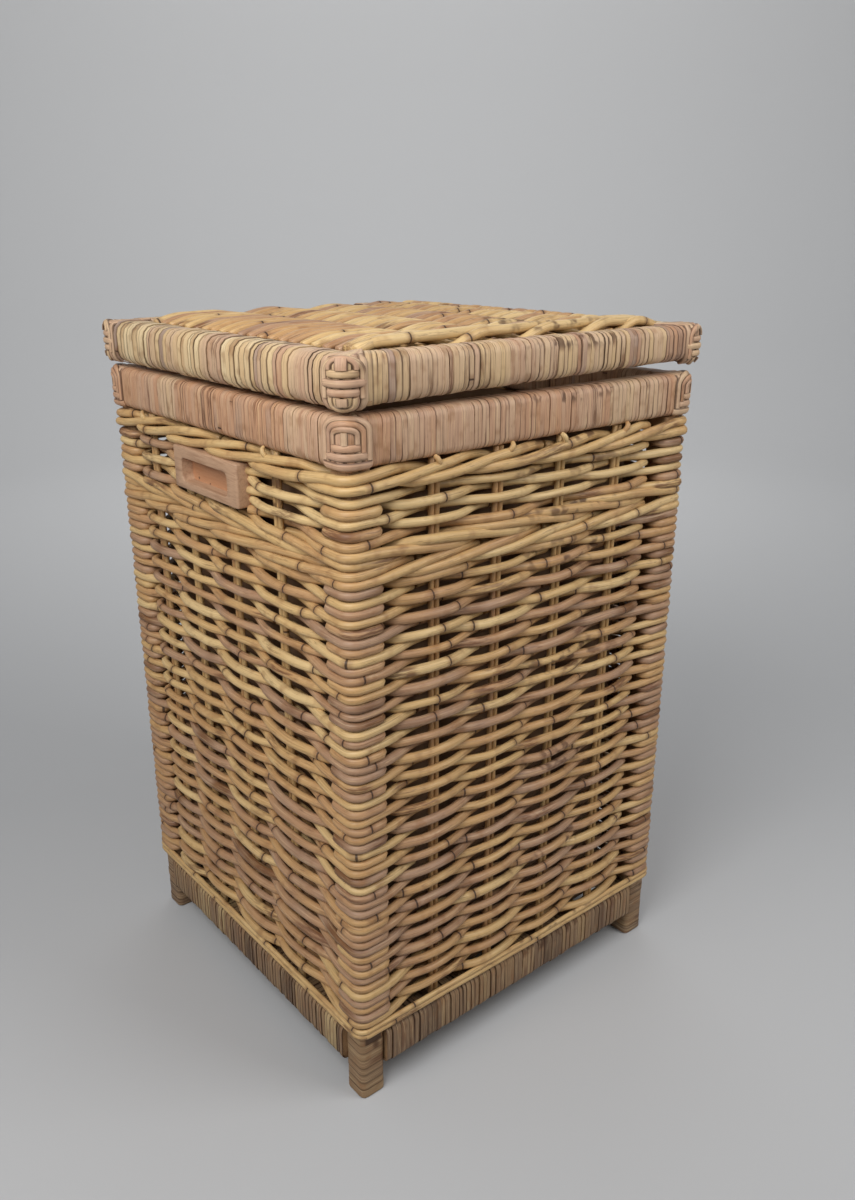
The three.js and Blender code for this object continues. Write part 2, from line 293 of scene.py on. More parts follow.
# %% Wood materials
def wood_material(name, dark, light, stretch, gloss, groove=None):
    material, shader, wire = new_material(name)
    place = wire.make("ShaderNodeTexCoord", {}, {}, "Object")
    grain = place.times(stretch).noise(1.0, 6.0, 0.6)
    pores = place.times([4 * s for s in stretch]).noise(1.0, 3.0, 0.7)
    cloud = place.times((18, 18, 18)).noise(1.0, 2.0)
    colour = (grain * 0.7 + cloud * 0.3).ramp([(0.30, dark), (0.52, light), (0.75, dark)])
    colour = colour.tint(paint(70, 44, 28), pores.fade(0.58, 0.72) * 0.5)
    if groove:
        parts = place.make("ShaderNodeSeparateXYZ", {}, {0: place})
        depth = parts.math("ABSOLUTE", parts, 0.0)
        colour = colour.tint(groove[0], depth.fade(groove[1] + 0.0015, groove[1]) * 0.55)
        for spot, radius in groove[2]:
            flat_place = place.times((0, 1, 1))
            ends = {0: flat_place, 1: (0, *spot)}
            away = flat_place.make("ShaderNodeVectorMath", {"operation": "DISTANCE"}, ends, 1)
            mark = away.fade(radius, radius * 0.5) * depth.fade(groove[1] + 0.001, groove[1])
            colour = colour.tint(paint(48, 30, 20), mark * 0.85)
    feed(shader, colour, "Base Color")
    feed(shader, gloss + pores * 0.2, "Roughness")
    feed_bump(shader, grain - pores.fade(0.58, 0.72) * 0.6, 0.3, 0.5 * MM)
    return material


FRAME_DARK, FRAME_LIGHT = paint(132, 96, 64), paint(176, 138, 98)
post_wood = wood_material("post_wood", FRAME_DARK, FRAME_LIGHT, (420, 420, 14), 0.6)
rail_wood_x = wood_material("rail_wood_x", FRAME_DARK, FRAME_LIGHT, (14, 420, 420), 0.6)
rail_wood_y = wood_material("rail_wood_y", FRAME_DARK, FRAME_LIGHT, (420, 14, 420), 0.6)
GROOVE_FLOOR = 188.4 * MM
NAIL_MARKS = [((0.040, 0.5275), 0.0016), ((0.0195, 0.5255), 0.0014)]
handle_groove = (paint(180, 118, 74), GROOVE_FLOOR, NAIL_MARKS)
handle_wood = wood_material(
    "handle_wood", paint(146, 108, 80), paint(182, 146, 116), (380, 26, 380), 0.5, handle_groove)

for name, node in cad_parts.items():
    if name.startswith("corner_post"):
        node.data.materials.clear()
        node.data.materials.append(post_wood)
    elif "_rail_" in name:
        node.data.materials.clear()
        node.data.materials.append(rail_wood_x if name.endswith(("front", "back")) else rail_wood_y)
print("wood materials ready")

# %% [markdown]
# ## Laying cane along a route
# Every round cane is a curve with a round bevel: the weaver's path is a list of points, and
# Blender sweeps the round section along it. Many canes share one curve object, which is turned
# into a mesh at the end. The rings of vertices come out in the order of the points, so the three
# attributes of the cane material are written straight from the lengths along each route.

# %% Canes from routes
CANE_FACETS = 10
JOINT_STEP = 1.6 * MM
JOINT_SWELL = 0.06
JOINT_REACH = 3 * MM
draw = random.Random(4)


def route_lengths(points):
    steps = np.linalg.norm(np.diff(points, axis=0), axis=1)
    return np.concatenate(([0.0], np.cumsum(steps)))


def cut_ends(points, radius):
    """Adds a small chamfer and a flat cut to both ends of a route."""
    heads = []
    for end, inner in ((points[0], points[1]), (points[-1], points[-2])):
        away = (end - inner) / np.linalg.norm(end - inner)
        heads.append((end + away * 0.4 * MM, end + away * 0.5 * MM))
    (start_edge, start_tip), (end_edge, end_tip) = heads
    points = np.vstack((start_tip, start_edge, points, end_edge, end_tip))
    radius = np.concatenate(([0, 0.75 * radius[0]], radius, [0.75 * radius[-1], 0]))
    return points, radius


def cane(points, radius, tone, joint_gap=0.16, cyclic=False):
    """One cane: its route, its radius at each point, and the places of its leaf joints."""
    points = np.asarray(points, float)
    radius = np.broadcast_to(radius, (len(points),))
    lengths = route_lengths(points)
    gap = joint_gap * draw.uniform(0.7, 1.3)
    joints = np.arange(draw.uniform(-gap, 0), lengths[-1] + gap, gap)
    beside = (joints[:, None] + np.array((-1, 0, 1)) * JOINT_STEP).ravel()
    beside = beside[(beside > 2 * MM) & (beside < lengths[-1] - 2 * MM)]
    if len(beside):
        beside = beside[[np.abs(lengths - place).min() > 0.3 * MM for place in beside]]
    every = np.sort(np.concatenate((lengths, beside)))
    points = np.stack([np.interp(every, lengths, points[:, k]) for k in range(3)], axis=1)
    radius = np.interp(every, lengths, radius)
    if not cyclic:
        points, radius = cut_ends(points, radius)
    start = 0 if cyclic else 0.5 * MM
    lengths = route_lengths(points)
    to_joint = np.abs(lengths[:, None] - start - joints[None, :]).min(axis=1)
    swell = 1 + JOINT_SWELL * np.exp(-((to_joint / JOINT_REACH) ** 2))
    return {
        "points": points,
        "radius": radius * swell,
        "tone": tone,
        "lengths": lengths,
        "to_joint": to_joint,
        "offset": draw.uniform(0, 40),
        "cyclic": cyclic,
    }


def deselect():
    bpy.ops.object.select_all(action="DESELECT")


def new_piece(name, data):
    """A curve or mesh as a new piece, selected on its own."""
    piece = bpy.data.objects.new(name, data)
    bpy.context.scene.collection.objects.link(piece)
    deselect()
    piece.select_set(True)
    bpy.context.view_layer.objects.active = piece
    return piece


def new_block(name, middle, size):
    """A cube stretched to a size."""
    deselect()
    bpy.ops.mesh.primitive_cube_add(size=1, location=middle)
    block = bpy.context.object
    block.name = name
    block.scale = size
    bpy.ops.object.transform_apply(location=True, rotation=False, scale=True)
    return block


def mesh_of_canes(name, canes, material):
    curve = bpy.data.curves.new(name, "CURVE")
    curve.dimensions = "3D"
    curve.bevel_depth = 1.0
    curve.bevel_resolution = CANE_FACETS // 2 - 2
    for one in canes:
        spline = curve.splines.new("POLY")
        spline.points.add(len(one["points"]) - 1)
        ones = np.ones((len(one["points"]), 1))
        spline.points.foreach_set("co", np.hstack((one["points"], ones)).ravel())
        spline.points.foreach_set("radius", one["radius"])
        spline.use_cyclic_u = one["cyclic"]
    new_piece(name, curve)
    bpy.ops.object.convert(target="MESH")
    piece = bpy.context.view_layer.objects.active
    angle = np.arange(CANE_FACETS) * 2 * math.pi / CANE_FACETS
    ring = np.stack((np.cos(angle), np.sin(angle)), axis=1)
    straight = []
    for one in canes:
        across = ring[None] * one["radius"][:, None, None]
        along = one["lengths"][:, None, None] + one["offset"]
        along = np.broadcast_to(along, (len(one["points"]), CANE_FACETS, 1))
        straight.append(np.concatenate((across, along), axis=2).reshape(-1, 3))
    write_pattern(
        piece.data,
        np.concatenate(straight),
        np.concatenate([np.full(len(one["points"]) * CANE_FACETS, one["tone"]) for one in canes]),
        np.concatenate([np.repeat(one["to_joint"], CANE_FACETS) for one in canes]),
    )
    piece.data.materials.append(material)
    bpy.ops.object.mode_set(mode="EDIT")
    bpy.ops.mesh.select_all(action="SELECT")
    bpy.ops.mesh.remove_doubles(threshold=1e-6)
    bpy.ops.object.mode_set(mode="OBJECT")
    bpy.ops.object.shade_smooth()
    return piece


def write_pattern(mesh, straight, tone, joint, edge=None):
    if len(straight) != len(mesh.vertices):
        raise ValueError(f"{mesh.name}: {len(straight)} pattern points for {len(mesh.vertices)} vertices")
    mesh.attributes.new("straight", "FLOAT_VECTOR", "POINT").data.foreach_set("vector", straight.ravel())
    mesh.attributes.new("tone", "FLOAT", "POINT").data.foreach_set("value", tone)
    mesh.attributes.new("joint", "FLOAT", "POINT").data.foreach_set("value", joint)
    if edge is not None:
        mesh.attributes.new("edge", "FLOAT", "POINT").data.foreach_set("value", edge)


def triangles(piece):
    return sum(len(face.vertices) - 2 for face in piece.data.polygons)


# %% [markdown]
# ## The weaver's way round the hamper
# Plain weaving goes in front of one stake and behind the next, and the row above does the
# opposite. The posts count as stakes too. Where a row meets a post on the outside it runs round
# the corner. Where it meets one on the inside it cuts behind the post, and a separate short wrap
# goes round the outside of the post, so that no wood shows. The route of a round is worked out in
# plan, for any rule that says which crossings are in front. Crossings are counted from the
# front-left post. A round starts and ends behind a stake of the back wall, where joins are hidden.

# %% One round in plan
CANE_R = 4.15 * MM
ROW_HEIGHT = 7.8 * MM
STEP = 5.2 * MM
OUT_LANE = WALL_OUT - CANE_R
CORNER_BEND = 9 * MM
IN_TURN_START = 146 * MM
PER_WALL = 5
ROUND_START = -7


def crossing_places(side):
    """The posts at both ends of a wall and its stakes, from left to right."""
    corner = (POST_OUT + POST_IN) / 2
    return [-corner, *[along for along, _ in STAKES[side]], corner]


def lane(side, first_order, along, in_front):
    """How far in front (+1) or behind (-1) a row is at a place, and the crossing number there."""
    places = crossing_places(side)
    i = 0
    while i < len(places) - 2 and along > places[i + 1]:
        i += 1
    share = clamp((along - places[i]) / (places[i + 1] - places[i]))
    swing = 0.5 - 0.5 * math.cos(math.pi * share)
    swing = swing * swing * (3 - 2 * swing) * 0.45 + swing * 0.55
    start, end = in_front(first_order + i), in_front(first_order + i + 1)
    return start + (end - start) * swing, first_order + i + share


def outer_corner(side):
    """The bend of a row round the outside of the post at a wall's right end."""
    middle = OUT_LANE - CORNER_BEND
    turns = np.linspace(0, math.pi / 2, 6)
    return [(side, middle + CORNER_BEND * math.sin(a), middle + CORNER_BEND * math.cos(a)) for a in turns]


def inner_corner(side):
    """The short cut of a row behind the post at a wall's right end."""
    half = [(152, 179), (157, 175.5), (161, 170.5)]
    bend = [*half, (164.3, 164.3), *[(out, along) for along, out in reversed(half)]]
    return [(side, along * MM, out * MM) for along, out in bend]


def plan_of_round(in_front):
    """A round from behind a back stake to the same stake again: (side, along, out, crossing)."""
    places = []
    for wall in range(-2, 3):
        side, order = SIDES[wall % 4], PER_WALL * wall
        starts_out, ends_out = in_front(order) > 0, in_front(order + PER_WALL) > 0
        start = OUT_LANE - CORNER_BEND if starts_out else IN_TURN_START
        end = OUT_LANE - CORNER_BEND if ends_out else IN_TURN_START
        for along in np.linspace(-start, end, round((start + end) / STEP) + 1):
            front, at = lane(side, order, along, in_front)
            places.append((side, along, WALL_MID + front * (OUT_LANE - WALL_MID), at))
        corner = outer_corner(side)[1:-1] if ends_out else inner_corner(side)
        places += [(*place, order + PER_WALL) for place in corner]
    first = ROUND_START if in_front(ROUND_START) < 0 else ROUND_START + 1
    return [place for place in places if first <= place[3] <= first + 4 * PER_WALL]


PLAIN_PLANS = [plan_of_round(lambda order, shift=shift: 1 - 2 * ((order + shift) % 2)) for shift in (0, 1)]
print("places in one round", [len(plan) for plan in PLAIN_PLANS])

# %% [markdown]
# Hand weaving is never quite level. A slow noise lifts and drops neighbouring rows together, so
# that they stay side by side, and each cane adds a little of its own. A round isn't one endless
# cane either: canes end behind a stake, where the next one begins.

# %% Canes along a round
def hand_drift(point, amount):
    slow = noise.noise(Vector(point) * 7.0)
    quick = noise.noise(Vector(point) * 26.0 + Vector((9, 4, 2)))
    return amount * (slow * 2.6 + quick * 1.0)


def frontness(along, out):
    return clamp((max(abs(along), out) - WALL_MID) / (OUT_LANE - WALL_MID))


def row_points(plan, height_at, wobble, proud=None):
    """The route of a row. proud(crossing) is how far it stands out beyond the plain rows."""
    own = draw.uniform(0, 90)
    points = []
    for index, (side, along, out, order) in enumerate(plan):
        push = 1 + (proud(order) * frontness(along, out) / OUT_LANE if proud else 0)
        point = at_side(side, along * push, out * push, height_at(side, along, order))
        point[2] += hand_drift(point, 1.0 * MM)
        point[2] += wobble * noise.noise(Vector((index * 0.15 + own, own, 0)))
        points.append(point)
    return np.array(points)


def pick_tone(height):
    """Straw yellow is commonest high up; lower down, tan, pink-grey and brown canes are picked more often,
    painted shade for the darker lower wall.
    """
    # low rises towards the foot of the wall and favours darker tones there: painted shade.
    low = 1 - clamp((height - WALL_FOOT) / (WALL_HEAD - WALL_FOOT))
    chance = draw.random()
    if chance < 0.60 - 0.50 * low:
        return draw.uniform(0.02, 0.34)
    if chance < 0.88 - 0.30 * low:
        return draw.uniform(0.36, 0.66)
    return draw.uniform(0.62, 0.90) if draw.random() < 0.85 else draw.uniform(0.90, 1.0)


def hidden(place):
    """Behind a stake or post, where one cane may end and the next begin."""
    return place[2] < WALL_IN + CANE_R * 1.25


def handle_range(side):
    low, high = along_of(side, HANDLE_LOW), along_of(side, HANDLE_HIGH)
    return min(low, high), max(low, high)


def blocked(side, along, height):
    """Inside a handle block, or so close above or below that a cane can't pass."""
    if side not in ("left", "right"):
        return False
    low, high = handle_range(side)
    clear = CANE_R + 0.3 * MM
    return HANDLE_LOW.z - clear < height < HANDLE_HIGH.z + clear and low < along < high


def uneven(radius, count):
    """A stem's radius swells and thins a little along its length."""
    own = draw.uniform(0, 90)
    return radius * np.array([1 + 0.07 * noise.noise(Vector((i * 0.07, own, 3))) for i in range(count)])


def split_round(plan, points, radius_range, tone_at, stops, joint_gap=0.16):
    """Cuts a round into separate canes at hidden places, and where a handle stops it."""
    canes = []
    start = 0
    target = draw.uniform(0.10, 0.9)
    travelled = 0.0
    for i in range(1, len(points) + 1):
        last = i == len(points)
        side, along, _, _ = plan[min(i, len(points) - 1)]
        stop = stops and blocked(side, along, points[min(i, len(points) - 1)][2])
        if not last:
            travelled += np.linalg.norm(points[i] - points[i - 1])
        if last or stop or (travelled > target and hidden(plan[i])):
            if i - start > 3:
                radius = uneven(draw.uniform(*radius_range), i - start)
                canes.append(cane(points[start:i], radius, tone_at(points[start][2]), joint_gap))
            start = i
            travelled = 0.0
            target = draw.uniform(0.35, 1.2)
    return canes


WRAP_END = POST_IN - 4.5 * MM


def post_wrap(side, height):
    """The short cane round the outside of the post at a wall's right end."""
    middle = OUT_LANE - CORNER_BEND
    bend = np.linspace(0, math.pi / 2, 6)
    half = [(WRAP_END - 0.5 * MM, WALL_MID - 6 * MM), (WRAP_END - 1.0 * MM, WALL_MID)]
    half += [(WRAP_END, OUT_LANE - 3 * MM), (WRAP_END + 2.6 * MM, OUT_LANE - 0.5 * MM)]
    half += [(WRAP_END + 7 * MM, OUT_LANE), (WRAP_END + 14 * MM, OUT_LANE)]
    places = list(half)
    places += [(middle + CORNER_BEND * math.sin(a), middle + CORNER_BEND * math.cos(a)) for a in bend]
    places += [(out, along) for along, out in reversed(half)]
    lean = draw.uniform(-1.0, 1.0) * MM
    drift = hand_drift(at_side(side, OUT_LANE, OUT_LANE, height), 1.0 * MM)
    points = [
        at_side(side, along, out, height + drift + lean * (i / (len(places) - 1) - 0.5))
        for i, (along, out) in enumerate(places)
    ]
    tone = draw.uniform(0.60, 1.0) if draw.random() < 0.8 else draw.uniform(0.4, 0.6)
    return cane(points, CANE_R * draw.uniform(0.90, 1.06), tone)


def plain_rows(bottom, top, first_shift):
    """Plain rows from bottom to top, with the wraps of the posts that they pass behind."""
    count = round((top - bottom) / ROW_HEIGHT)
    canes = []
    for row in range(count):
        height = bottom + (row + 0.5) * (top - bottom) / count
        shift = (first_shift + row) % 2
        points = row_points(PLAIN_PLANS[shift], lambda *_: height, 1.5 * MM)
        thick = (CANE_R * 0.78, CANE_R * 1.08)
        canes += split_round(PLAIN_PLANS[shift], points, thick, pick_tone, True)
        canes += [
            post_wrap(side, height)
            for index, side in enumerate(SIDES)
            if (shift + PER_WALL * (index + 1)) % 2
        ]
    return canes


BORDER_TOP = 78 * MM
WALE_BOTTOM = 484 * MM
WALE_TOP = 513 * MM
TOP_WALE_BOTTOM = 553 * MM
bands = np.linspace(BORDER_TOP, WALE_BOTTOM, 5)
wall_pieces = [
    mesh_of_canes(f"wall_rows_{i + 1}", plain_rows(low, high, i), round_cane)
    for i, (low, high) in enumerate(zip(bands[:-1], bands[1:]))
]
wall_pieces.append(mesh_of_canes("wall_rows_top", plain_rows(WALE_TOP, TOP_WALE_BOTTOM, 0), round_cane))

# %% [markdown]
# Waling makes a firm band. Three rods are worked together: each goes in front of two stakes and
# behind one, a stake apart from the next rod, so two of them lie outside everywhere, slanting one
# over the other like the strands of a rope. There is a band under the rim and a double one below
# the handles, where the second row slants the other way.

# %% Bands of waling
WALE_R = 4.15 * MM
SLANT = [(0.0, 0.0), (0.45, -1.0), (1.3, -0.55), (2.15, 0.8), (2.55, 1.0), (3.0, 0.0)]


def slant(turn):
    """Height of a rod, -1 to 1, from one stake that it passes behind (0) to the next (3)."""
    return np.interp(turn % 3, *zip(*SLANT))


def waling(middle, rise, proud):
    """Three rods about one height. rise is how far a rod climbs on its way, down if negative."""
    canes = []
    for rod in range(3):
        plan = plan_of_round(lambda order: -1 if (order + rod) % 3 == 0 else 1)

        def height_at(side, along, order):
            height = middle + rise * slant(order + rod)
            low, high = handle_range(side)
            if side in ("left", "right") and low - 6 * MM < along < high + 6 * MM and height > HANDLE_LOW.z:
                height = max(height, HANDLE_HIGH.z + 3.2 * MM)
            return height

        def proud_at(order):
            return proud + 1.1 * MM * (1.5 - (order + rod) % 3)

        points = row_points(plan, height_at, 0.8 * MM, proud_at)
        smooth = np.pad(points, ((3, 3), (0, 0)), mode="edge")
        points[:, 2] = np.convolve(smooth[:, 2], np.ones(7) / 7, "valid")
        thick = (WALE_R * 0.92, WALE_R * 1.06)
        canes += split_round(plan, points, thick, lambda _: draw.uniform(0.02, 0.5), False, 0.22)
    return canes


low_wale = waling(491.5 * MM, 5.5 * MM, 0.4 * MM) + waling(505.5 * MM, -5.5 * MM, 0.4 * MM)
wall_pieces.append(mesh_of_canes("handle_wale", low_wale, round_cane))
wall_pieces.append(mesh_of_canes("rim_wale", waling(563.5 * MM, 6.5 * MM, 1.5 * MM), round_cane))

# %% [markdown]
# Under the lowest row two thin canes run all the way round, where the wall meets the base.

# %% Border canes
BORDER_CANES = [(71.2 * MM, 2.7 * MM), (76.4 * MM, 2.4 * MM)]


def level_loop(height, radius):
    """A closed ring round the four walls, level, with rounded corners."""
    out = WALL_OUT - radius
    middle = out - CORNER_BEND
    points = []
    for side in SIDES:
        points += [at_side(side, along, out, height) for along in np.linspace(-middle, middle, 40)[:-1]]
        for a in np.linspace(0, math.pi / 2, 6)[:-1]:
            corner = (middle + CORNER_BEND * math.sin(a), middle + CORNER_BEND * math.cos(a))
            points.append(at_side(side, *corner, height))
    for point in points:
        point[2] += hand_drift(point, 0.5 * MM)
    return cane(points, radius, draw.uniform(0.25, 0.45), 0.2, cyclic=True)


border = [level_loop(height, radius) for height, radius in BORDER_CANES]
wall_pieces.append(mesh_of_canes("border_canes", border, round_cane))

for piece in wall_pieces:
    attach(piece, "hamper")
    print(piece.name, triangles(piece), "triangles")
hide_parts(*[f"wall_weave_{side}" for side in SIDES])

# %% [markdown]
# ## Stakes
# Each stake is a pair of thin canes side by side, standing between the base and the rim. Under
# the rim the tip of a cane is bent forward over the waling, and shows as a small pale knot. The
# two stakes of a side wall that meet the handle stop under it.

# %% Stakes and their knots
STAKE_R = 2.55 * MM
STAKE_APART = 2.7 * MM
RIM_LOW, RIM_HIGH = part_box("rim_winding_front")
RIM_OUT = -RIM_LOW.y


def stake_canes(side, along, top):
    canes = []
    for offset in (-STAKE_APART, STAKE_APART):
        own = draw.uniform(0, 90)
        heights = np.linspace(WALL_FOOT, top, 36)
        sway = np.array([0.5 * MM * noise.noise(Vector((z * 14, own, 0))) for z in heights])
        points = at_side(side, along + offset + sway, WALL_MID + sway * 0.3, heights)
        canes.append(cane(points, STAKE_R * draw.uniform(0.92, 1.0), draw.uniform(0.2, 0.6), 0.3))
    return canes


def stake_knot(side, along):
    way = [(0, -7, -12), (1, -3, -7), (2, -0.2, -4), (3.6, 1.0, -1.4), (5.0, 0.4, 0.8), (5.8, -1.6, 2.4)]
    turned = draw.choice((-1, 1))
    points = [at_side(side, along + turned * x * MM, RIM_OUT + o * MM, RIM_LOW.z + z * MM) for x, o, z in way]
    radius = np.array((2.3, 2.3, 2.4, 2.5, 2.3, 1.7)) * MM * draw.uniform(0.85, 1.0)
    return cane(points, radius, draw.uniform(0.2, 0.6))


for side in SIDES:
    canes = []
    for along, top in STAKES[side]:
        canes += stake_canes(side, along, top)
        if top > HANDLE_HIGH.z:
            canes.append(stake_knot(side, along + draw.uniform(-3, 3) * MM))
    stakes = mesh_of_canes(f"stakes_{side}", canes, round_cane)
    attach(stakes, "hamper")
    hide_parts(*[f"stake_{side}_{i}" for i in range(1, 5)])
    print(stakes.name, len(canes), "canes", triangles(stakes), "triangles")

# %% [markdown]
# ## Turns of split cane
# The rails and feet are wound with split cane: the flat outer skin of the stem, about 6 mm wide,
# laid turn against turn. One closed turn is modelled by hand. A plane of the rail's section gets
# rounded corners, its face is taken away, and the edge is drawn out along the rail in two steps,
# so that the middle can stand higher than the sides. A solidify modifier gives the strip its
# thickness. The turn is copied along each rail with small changes, and the copies make one mesh.

# %% One turn, modelled once
STRIP = 6 * MM
STRIP_THICK = 2.4 * MM
TURN_SEGMENTS = 3


def select_points(piece, test):
    """Selects the vertices whose place passes the test, in edit mode."""
    bpy.ops.object.mode_set(mode="OBJECT")
    for vertex in piece.data.vertices:
        vertex.select = test(vertex.co)
    bpy.ops.object.mode_set(mode="EDIT")
    bpy.ops.mesh.select_mode(type="VERT")


def select_edges(piece, test):
    """Selects the edges whose two ends pass the test, in edit mode."""
    bpy.ops.object.mode_set(mode="OBJECT")
    for face in piece.data.polygons:
        face.select = False
    for edge in piece.data.edges:
        a, b = (piece.data.vertices[index].co for index in edge.vertices)
        edge.select = test(a, b)
    bpy.context.tool_settings.mesh_select_mode = (False, True, False)
    bpy.ops.object.mode_set(mode="EDIT")


def select_faces(piece, test):
    """Selects the faces that pass the test, in edit mode."""
    bpy.ops.object.mode_set(mode="OBJECT")
    for face in piece.data.polygons:
        face.select = test(face)
    bpy.context.tool_settings.mesh_select_mode = (False, False, True)
    bpy.ops.object.mode_set(mode="EDIT")


def near(value, target):
    return abs(value - target) < 0.05 * MM


def one_turn(name, width, height, bend, crown=1.0 * MM):
    """A closed turn about Z: width on X (outwards), height on Y (up), the strip's width on Z."""
    deselect()
    bpy.ops.mesh.primitive_plane_add(size=1)
    turn = bpy.context.object
    turn.name = name
    bpy.ops.object.mode_set(mode="EDIT")
    bpy.ops.mesh.select_all(action="SELECT")
    bpy.ops.transform.resize(value=(width, height, 1))
    bpy.ops.mesh.bevel(offset=bend, offset_type="OFFSET", segments=TURN_SEGMENTS, affect="VERTICES")
    bpy.ops.mesh.select_all(action="SELECT")
    bpy.ops.mesh.delete(type="ONLY_FACE")
    bpy.ops.mesh.select_all(action="SELECT")
    for _ in range(2):
        bpy.ops.mesh.extrude_edges_move(TRANSFORM_OT_translate={"value": (0, 0, STRIP / 2)})
    bpy.ops.mesh.select_all(action="SELECT")
    bpy.ops.transform.translate(value=(0, 0, -STRIP / 2))
    select_points(turn, lambda place: abs(place.z) > STRIP / 4)
    narrowed = (1 - 2 * crown / width, 1 - 2 * crown / height, 1)
    bpy.ops.transform.resize(value=narrowed, center_override=(0, 0, 0))
    bpy.ops.mesh.select_all(action="SELECT")
    bpy.ops.mesh.normals_make_consistent(inside=False)
    bpy.ops.object.mode_set(mode="OBJECT")
    face = turn.data.polygons[0]
    if face.normal.dot(Vector((face.center.x, face.center.y, 0))) < 0:
        turn.data.flip_normals()
    thickness = turn.modifiers.new("thickness", "SOLIDIFY")
    thickness.thickness = STRIP_THICK - crown
    thickness.offset = -1
    bpy.ops.object.modifier_apply(modifier="thickness")
    return turn


def copies(name, pattern_piece, spots, material, side_shade_range=(0.5, 1.0)):
    """One mesh of many copies. Each spot is a function that places the points, and a tone."""
    base = np.array([vertex.co for vertex in pattern_piece.data.vertices])
    faces = np.array([list(face.vertices) for face in pattern_piece.data.polygons])
    points = np.concatenate([place(base) for place, _ in spots])
    mesh = bpy.data.meshes.new(name)
    all_faces = np.concatenate([faces + i * len(base) for i in range(len(spots))])
    mesh.from_pydata(points.tolist(), [], all_faces.tolist())
    straight = np.concatenate([base + (0, 0, draw.uniform(0, 40)) for _ in spots])
    tones = np.concatenate([np.full(len(base), tone) for _, tone in spots])
    ring_heights = [draw.uniform(-0.02, 0.02) if draw.random() < 0.12 else 0.3 for _ in spots]
    to_ring = np.concatenate([np.abs(base[:, 1] - height) for height in ring_heights])
    # The sides of each turn get the edge value that the material darkens: painted shade between turns.
    groove = (np.abs(base[:, 2]) > STRIP / 4).astype(float)
    edge = np.concatenate([groove * draw.uniform(*side_shade_range) for _ in spots])
    write_pattern(mesh, straight, tones, to_ring, edge)
    mesh.materials.append(material)
    piece = new_piece(name, mesh)
    bpy.ops.object.shade_smooth_by_angle(angle=math.radians(50))
    return piece


def tone_runs(choices, longest, spread):
    """Tones for turn after turn. One strip makes a few turns, then a strip of another colour."""
    while True:
        low, high = draw.choice(choices)
        strip_tone = draw.uniform(low, high)
        for _ in range(draw.randint(1, longest)):
            yield strip_tone + draw.uniform(-spread, spread)


# %% [markdown]
# The turns lie side by side and fan out towards a mitred corner, because the outer face of a
# rail is longer than its inner face. Some strips are wider or lean a little, and here and there
# a dark slit opens between two of them.

# %% Winding a rail
WIDE_SLIT = (0.5 * MM, 1.5 * MM)
THIN_SLIT = (0.0, 0.2 * MM)


def wind_rail(name, side, rail, spots_from, spots_to, choices, style, inner_reach=None, bottom_at=None):
    """rail is the lowest and highest corner of the winding's section: (inner, bottom), (outer, top)."""
    (inner, bottom), (outer, top) = rail
    width, height = outer - inner, top - bottom
    turn = one_turn(name + "_turn", width, height, style["bend"], style["crown"])
    middle_out, middle_z = (outer + inner) / 2, (top + bottom) / 2
    tones = tone_runs(choices, style["longest_run"], style["tone_spread"])
    spots = []
    at = spots_from
    while at < spots_to - STRIP * 0.4:
        strip = min(draw.uniform(*style["widths"]) * STRIP, spots_to - at)
        swell = draw.uniform(*style["swell"])
        lean = draw.uniform(-0.6, 0.6) * MM

        def place(base, at=at + strip / 2, strip=strip, swell=swell, lean=lean):
            along = at - base[:, 2] * strip / STRIP + lean * base[:, 1] / height * 2
            out = base[:, 0] * (1 + 2 * swell / width)
            up = base[:, 1] * (1 + 2 * swell / height)
            if inner_reach:
                reach = max(abs(spots_from), abs(spots_to))
                near_end = clamp((abs(at) - 0.62 * reach) / (0.38 * reach)) ** 1.5
                pull = (reach - inner_reach) / reach * near_end
                along = along - at * pull * (0.5 - base[:, 0] / width)
            if bottom_at:
                share = (middle_z - bottom_at(at)) / (height / 2)
                up = np.where(up < 0, up * share, up)
            return at_side(side, along, middle_out + out, middle_z + up)

        spots.append((place, clamp(next(tones))))
        slit = draw.uniform(*WIDE_SLIT) if draw.random() < style["slits"] else draw.uniform(*THIN_SLIT)
        at += strip + slit
    piece = copies(name, turn, spots, style["cane"], style["groove"])
    bpy.data.objects.remove(turn)
    print(name, len(spots), "turns", triangles(piece), "triangles")
    return piece


# groove: how strongly each strip's sides are darkened, painted shade between turns.
ROUND_STYLE = {
    "bend": 12 * MM, "crown": 1.7 * MM, "widths": (0.75, 1.45), "swell": (-0.2 * MM, 1.2 * MM), "slits": 0.12,
    "groove": (0.6, 1.0), "longest_run": 4, "tone_spread": 0.10, "cane": split_cane,
}
TIGHT_STYLE = {
    "bend": 9 * MM, "crown": 1.0 * MM, "widths": (0.60, 1.10), "swell": (-0.4 * MM, 0.4 * MM), "slits": 0.20,
    "groove": (0.5, 1.0), "longest_run": 5, "tone_spread": 0.09, "cane": split_cane,
}
FLAT_STYLE = {
    "bend": 7 * MM, "crown": 0.55 * MM, "widths": (0.60, 1.15), "swell": (-0.2 * MM, 0.2 * MM), "slits": 0.12,
    "groove": (0.25, 0.9), "longest_run": 9, "tone_spread": 0.06, "cane": split_cane,
}
CREAM, PALE, PINK = (0.0, 0.12), (0.28, 0.42), (0.48, 0.60)
ORANGE, GREY, DARK = (0.62, 0.74), (0.80, 0.90), (0.92, 1.0)


def rail_of(node, side):
    """The winding's section, from its CAD node."""
    low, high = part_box(node)
    outs = [abs(low.y), abs(high.y)] if side in ("front", "back") else [abs(low.x), abs(high.x)]
    return (min(outs), low.z), (max(outs), high.z)


